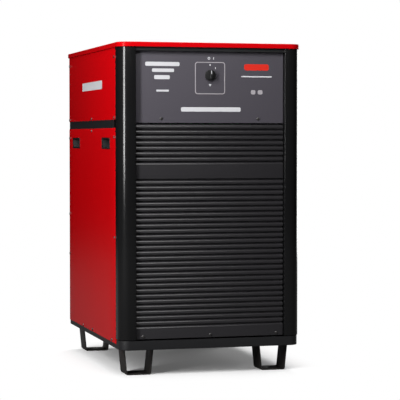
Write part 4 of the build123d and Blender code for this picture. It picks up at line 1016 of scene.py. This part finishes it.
# ---- Fasteners ----
class CUTTER_OT_screws(Builder, Operator):
    """Make the panel screws: low round heads with a round socket"""

    bl_idname = "cutter.screws"
    bl_label = "Panel screws"

    def execute(self, context):
        master = self.head()
        heads = [self.placed(master, low, high) for low, high in solids("panel_screws")]
        bpy.data.objects.remove(master)
        complete(joined("screw_heads", heads), "screw_black", "panel_screws", mend=False)
        return {"FINISHED"}

    def head(self):
        """A head on the XY plane, facing up."""
        sizes = self.sizes
        head = drum("head", (0, 0, sizes.screw_rise / 2), sizes.screw_head, sizes.screw_rise, "z", 24)
        round_edges(head, HEAD_ROUND * sizes.screw_rise, 3, lambda at, along: near(at.z, sizes.screw_rise))
        with editing(head):
            pick(head, "FACE", lambda at, normal: normal.z > 0.99)
            bpy.ops.mesh.inset(thickness=SOCKET_RIM * sizes.screw_head)
            depth = (0, 0, -SOCKET_DEPTH * sizes.screw_rise)
            bpy.ops.mesh.extrude_region_move(TRANSFORM_OT_translate={"value": depth})
        return head

    def placed(self, master, low, high):
        """Turn a copy of the head outwards and set it where the screw is."""
        middle = (low + high) / 2
        half_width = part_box("side_panel_upper_right")[1].x
        rear_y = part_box("rear_lower_panel")[1].y
        rise = self.sizes.screw_rise
        take(master)
        bpy.ops.object.duplicate(linked=False)
        head = bpy.context.object
        if abs(middle.x) > half_width - SIDE_ZONE and high.y < rear_y + REAR_SLACK:
            sign = math.copysign(1.0, middle.x)
            head.rotation_euler = (0, sign * QUARTER, 0)
            head.location = (sign * half_width, middle.y, middle.z)
        else:
            sign = math.copysign(1.0, middle.y)
            head.rotation_euler = (-sign * QUARTER, 0, 0)
            face = high.y - rise if sign > 0 else low.y + rise
            head.location = (middle.x, face, middle.z)
        return settle("screw")


# ---- Fans ----
class CUTTER_OT_fans(Builder, Operator):
    """Make the fans' wire guards and bladed rotors"""

    bl_idname = "cutter.fans"
    bl_label = "Fans"

    def execute(self, context):
        for side in SIDES:
            self.guard(side)
            self.rotor(side)
        return {"FINISHED"}

    def guard(self, side):
        """Rings and four diagonal spokes, each ending in a loop for its screw."""
        sizes = self.sizes
        low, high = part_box(f"fan_guard_{side}")
        centre = (low + high) / 2
        wire = sizes.guard_wire / 2
        pitch = sizes.guard_pitch
        radii = [pitch * count for count in range(1, math.floor(sizes.guard_rim / pitch) + 1)]
        pieces = [ring("ring", centre, radius, wire, 72) for radius in (*radii, sizes.guard_rim)]
        loop_at = ((high.x - low.x) / 2 - sizes.eyelet_inset) * math.sqrt(2)
        reach = loop_at - pitch - 2 * sizes.guard_wire
        spoke = drum("spoke", (centre.x + pitch + reach / 2, centre.y, centre.z), wire, reach, "x", 10)
        loop = ring("loop", (centre.x + loop_at, centre.y, centre.z), sizes.eyelet, wire)
        arm = joined("arm", [spoke, loop])
        pieces += [turned_copy(arm, QUARTER * (turn + 0.5), centre) for turn in range(4)]
        bpy.data.objects.remove(arm)
        complete(joined(f"{side}_fan_guard", pieces), "guard_wire", f"fan_guard_{side}", mend=False)

    def rotor(self, side):
        """A hub and pitched, twisted blades."""
        sizes = self.sizes
        low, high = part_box(f"fan_rotor_{side}")
        centre = (low + high) / 2
        hub = drum("hub", centre, sizes.blade_root, high.y - low.y, "y", 48)
        ease(hub, 0.003, 4)
        span = sizes.blade_tip - sizes.blade_root + sizes.blade_sunk
        bpy.ops.object.select_all(action="DESELECT")
        bpy.ops.mesh.primitive_grid_add(x_subdivisions=8, y_subdivisions=6, size=1.0)
        bpy.context.object.scale = (span, sizes.blade_chord, 1.0)
        blade = settle("blade")
        modify(blade, "SIMPLE_DEFORM", deform_method="TWIST", deform_axis="X", angle=BLADE_TWIST)
        modify(blade, "SOLIDIFY", thickness=sizes.blade_sheet, offset=0.0)
        ease(blade, 0.0008, 2)
        blade.rotation_euler = (BLADE_SLANT, 0, 0)
        blade.location = (centre.x + sizes.blade_tip - span / 2, centre.y, centre.z)
        take(blade)
        blade = settle("blade")
        blades = [turned_copy(blade, math.tau * turn / sizes.blades, centre) for turn in range(sizes.blades)]
        bpy.data.objects.remove(blade)
        rotor = joined(f"{side}_rotor", [hub, *blades])
        complete(rotor, "moulded_black", f"fan_rotor_{side}", body=f"fan_{side}")


# ---- Carried-over nodes ----
class CUTTER_OT_finishes(Builder, Operator):
    """Make the finishes, and paint every frame node with the one of its slot"""

    bl_idname = "cutter.finishes"
    bl_label = "Finishes"

    def execute(self, context):
        made = make_finishes(bpy.context.scene.cutter_colours)
        slots = {row["node"]: row["material_slot"] for row in frame["record"]["subparts"]}
        for name, node in frame["nodes"].items():
            node.data.materials.clear()
            node.data.materials.append(made[slots[name]])
        return {"FINISHED"}


# ---- Stage ----
AIM = (0.0, 0.0, 0.55)          # what the lights face
EYE = (-1.456, -5.495, 0.752)   # where the camera stands
YAW, PITCH = math.radians(15.61), math.radians(2.07)
LENS, SENSOR, SHIFT = 149.1, 36.0, -0.002
LAMPS = (                       # name, place, width and height in metres, watts
    ("key", (-2.35, -2.0, 1.7), (0.55, 2.2), 128.0),
    ("front", (-0.5, -2.9, 3.1), (2.6, 1.6), 84.0),
    ("top", (0.3, 0.2, 3.6), (3.0, 3.0), 38.0),
    ("back", (3.0, 2.4, 1.1), (2.0, 2.2), 62.0),
    ("rear", (0.5, 3.0, 3.4), (2.2, 1.2), 115.0),
)


class CUTTER_OT_stage(Builder, Operator):
    """Make the floor, the backdrop, the soft lights and the camera"""

    bl_idname = "cutter.stage"
    bl_label = "Stage"

    def execute(self, context):
        self.floor()
        self.sky()
        for lamp in LAMPS:
            self.light(*lamp)
        self.camera()
        bpy.context.scene.view_settings.view_transform = "Standard"
        return {"FINISHED"}

    def floor(self):
        """Pale paper that casts little light back, and is white away from the cabinet."""
        bpy.ops.object.select_all(action="DESELECT")
        bpy.ops.mesh.primitive_circle_add(vertices=96, radius=60.0, fill_type="NGON")
        floor = settle("floor")
        paint = Finish("floor_paper", Roughness=0.9, Specular_IOR_Level=0.1)
        direct = paint.node("ShaderNodeLightPath", output="Is Camera Ray")
        paper_colour = paint.blend(direct, (0.10, 0.10, 0.10), (0.90, 0.90, 0.90))
        paint.feed(paint.shader.inputs["Base Color"], paper_colour)
        across = abs(paint.along(0)) / cad_high.x
        back = abs(paint.along(1)) / cad_high.y
        far = paint.node("ShaderNodeMapRange", {"interpolation_type": "SMOOTHSTEP"},
                         {"Value": across.maths("MAXIMUM", back), "From Min": 0.75, "From Max": 1.4})
        seen = direct * paint.range(far, 0.10, 1.0)
        glow = paint.node("ShaderNodeEmission", sockets={"Color": (1.0, 1.0, 1.0), "Strength": 1.0})
        paper = Value(paint, paint.shader.outputs[0])
        mixed = paint.node("ShaderNodeMixShader", sockets={0: seen, 1: paper, 2: glow})
        output = next(node for node in paint.tree.nodes if node.type == "OUTPUT_MATERIAL")
        paint.tree.links.new(mixed.socket, output.inputs["Surface"])
        floor.data.materials.append(paint.material)

    def sky(self):
        """White to the camera, and a dark room to everything else."""
        world = bpy.data.worlds.new("studio")
        bpy.context.scene.world = world
        world.use_nodes = True
        tree = world.node_tree
        tree.nodes.clear()
        output = tree.nodes.new("ShaderNodeOutputWorld")
        mix = tree.nodes.new("ShaderNodeMixShader")
        path = tree.nodes.new("ShaderNodeLightPath")
        room = tree.nodes.new("ShaderNodeBackground")
        room.inputs["Color"].default_value = (0.008, 0.008, 0.008, 1.0)
        page = tree.nodes.new("ShaderNodeBackground")
        page.inputs["Color"].default_value = (1.0, 1.0, 1.0, 1.0)
        tree.links.new(path.outputs["Is Camera Ray"], mix.inputs[0])
        tree.links.new(room.outputs[0], mix.inputs[1])
        tree.links.new(page.outputs[0], mix.inputs[2])
        tree.links.new(mix.outputs[0], output.inputs["Surface"])

    def light(self, name, place, size, watts):
        """A rectangular soft light that faces the cabinet's middle."""
        bpy.ops.object.light_add(type="AREA", location=place)
        lamp = bpy.context.object
        lamp.name = f"{name}_light"
        lamp.data.shape = "RECTANGLE"
        lamp.data.size, lamp.data.size_y = size
        lamp.data.energy = watts
        towards = Vector(AIM) - Vector(place)
        lamp.rotation_euler = towards.to_track_quat("-Z", "Y").to_euler()

    def camera(self):
        """A long lens at the front left, a little above the cabinet's middle."""
        bpy.ops.object.camera_add(location=EYE, rotation=(QUARTER - PITCH, 0, -YAW))
        camera = bpy.context.object
        camera.data.lens = LENS
        camera.data.sensor_width = SENSOR
        camera.data.shift_x = SHIFT
        bpy.context.scene.camera = camera


class CUTTER_PT_sidebar(Panel):
    """Lists the pieces in the order they are made, then the sizes and the colours"""

    bl_idname = "CUTTER_PT_sidebar"
    bl_label = "Plasma cutter unit"
    bl_space_type = "VIEW_3D"
    bl_region_type = "UI"
    bl_category = "Cutter"

    def draw(self, context):
        for operator in OPERATORS:
            self.layout.operator(operator.bl_idname)
        for group in (context.scene.cutter_sizes, context.scene.cutter_colours):
            for name in group.bl_rna.properties.keys():
                if name not in ("rna_type", "name"):
                    self.layout.prop(group, name)


OPERATORS = (
    CUTTER_OT_stage,
    CUTTER_OT_finishes,
    CUTTER_OT_lid,
    CUTTER_OT_side_panels,
    CUTTER_OT_posts,
    CUTTER_OT_louvres,
    CUTTER_OT_control_panel,
    CUTTER_OT_base,
    CUTTER_OT_feet,
    CUTTER_OT_pull_cups,
    CUTTER_OT_switch,
    CUTTER_OT_marks,
    CUTTER_OT_screws,
    CUTTER_OT_fans,
)
CLASSES = (CutterSizes, CutterColours, *OPERATORS, CUTTER_PT_sidebar)


def register():
    for made in CLASSES:
        bpy.utils.register_class(made)
    bpy.types.Scene.cutter_sizes = PointerProperty(type=CutterSizes)
    bpy.types.Scene.cutter_colours = PointerProperty(type=CutterColours)


def unregister():
    del bpy.types.Scene.cutter_sizes
    del bpy.types.Scene.cutter_colours
    for made in reversed(CLASSES):
        bpy.utils.unregister_class(made)


def main():
    register()
    for operator in OPERATORS:
        category, name = operator.bl_idname.split(".")
        getattr(getattr(bpy.ops, category), name)()


if __name__ == "__main__":
    main()
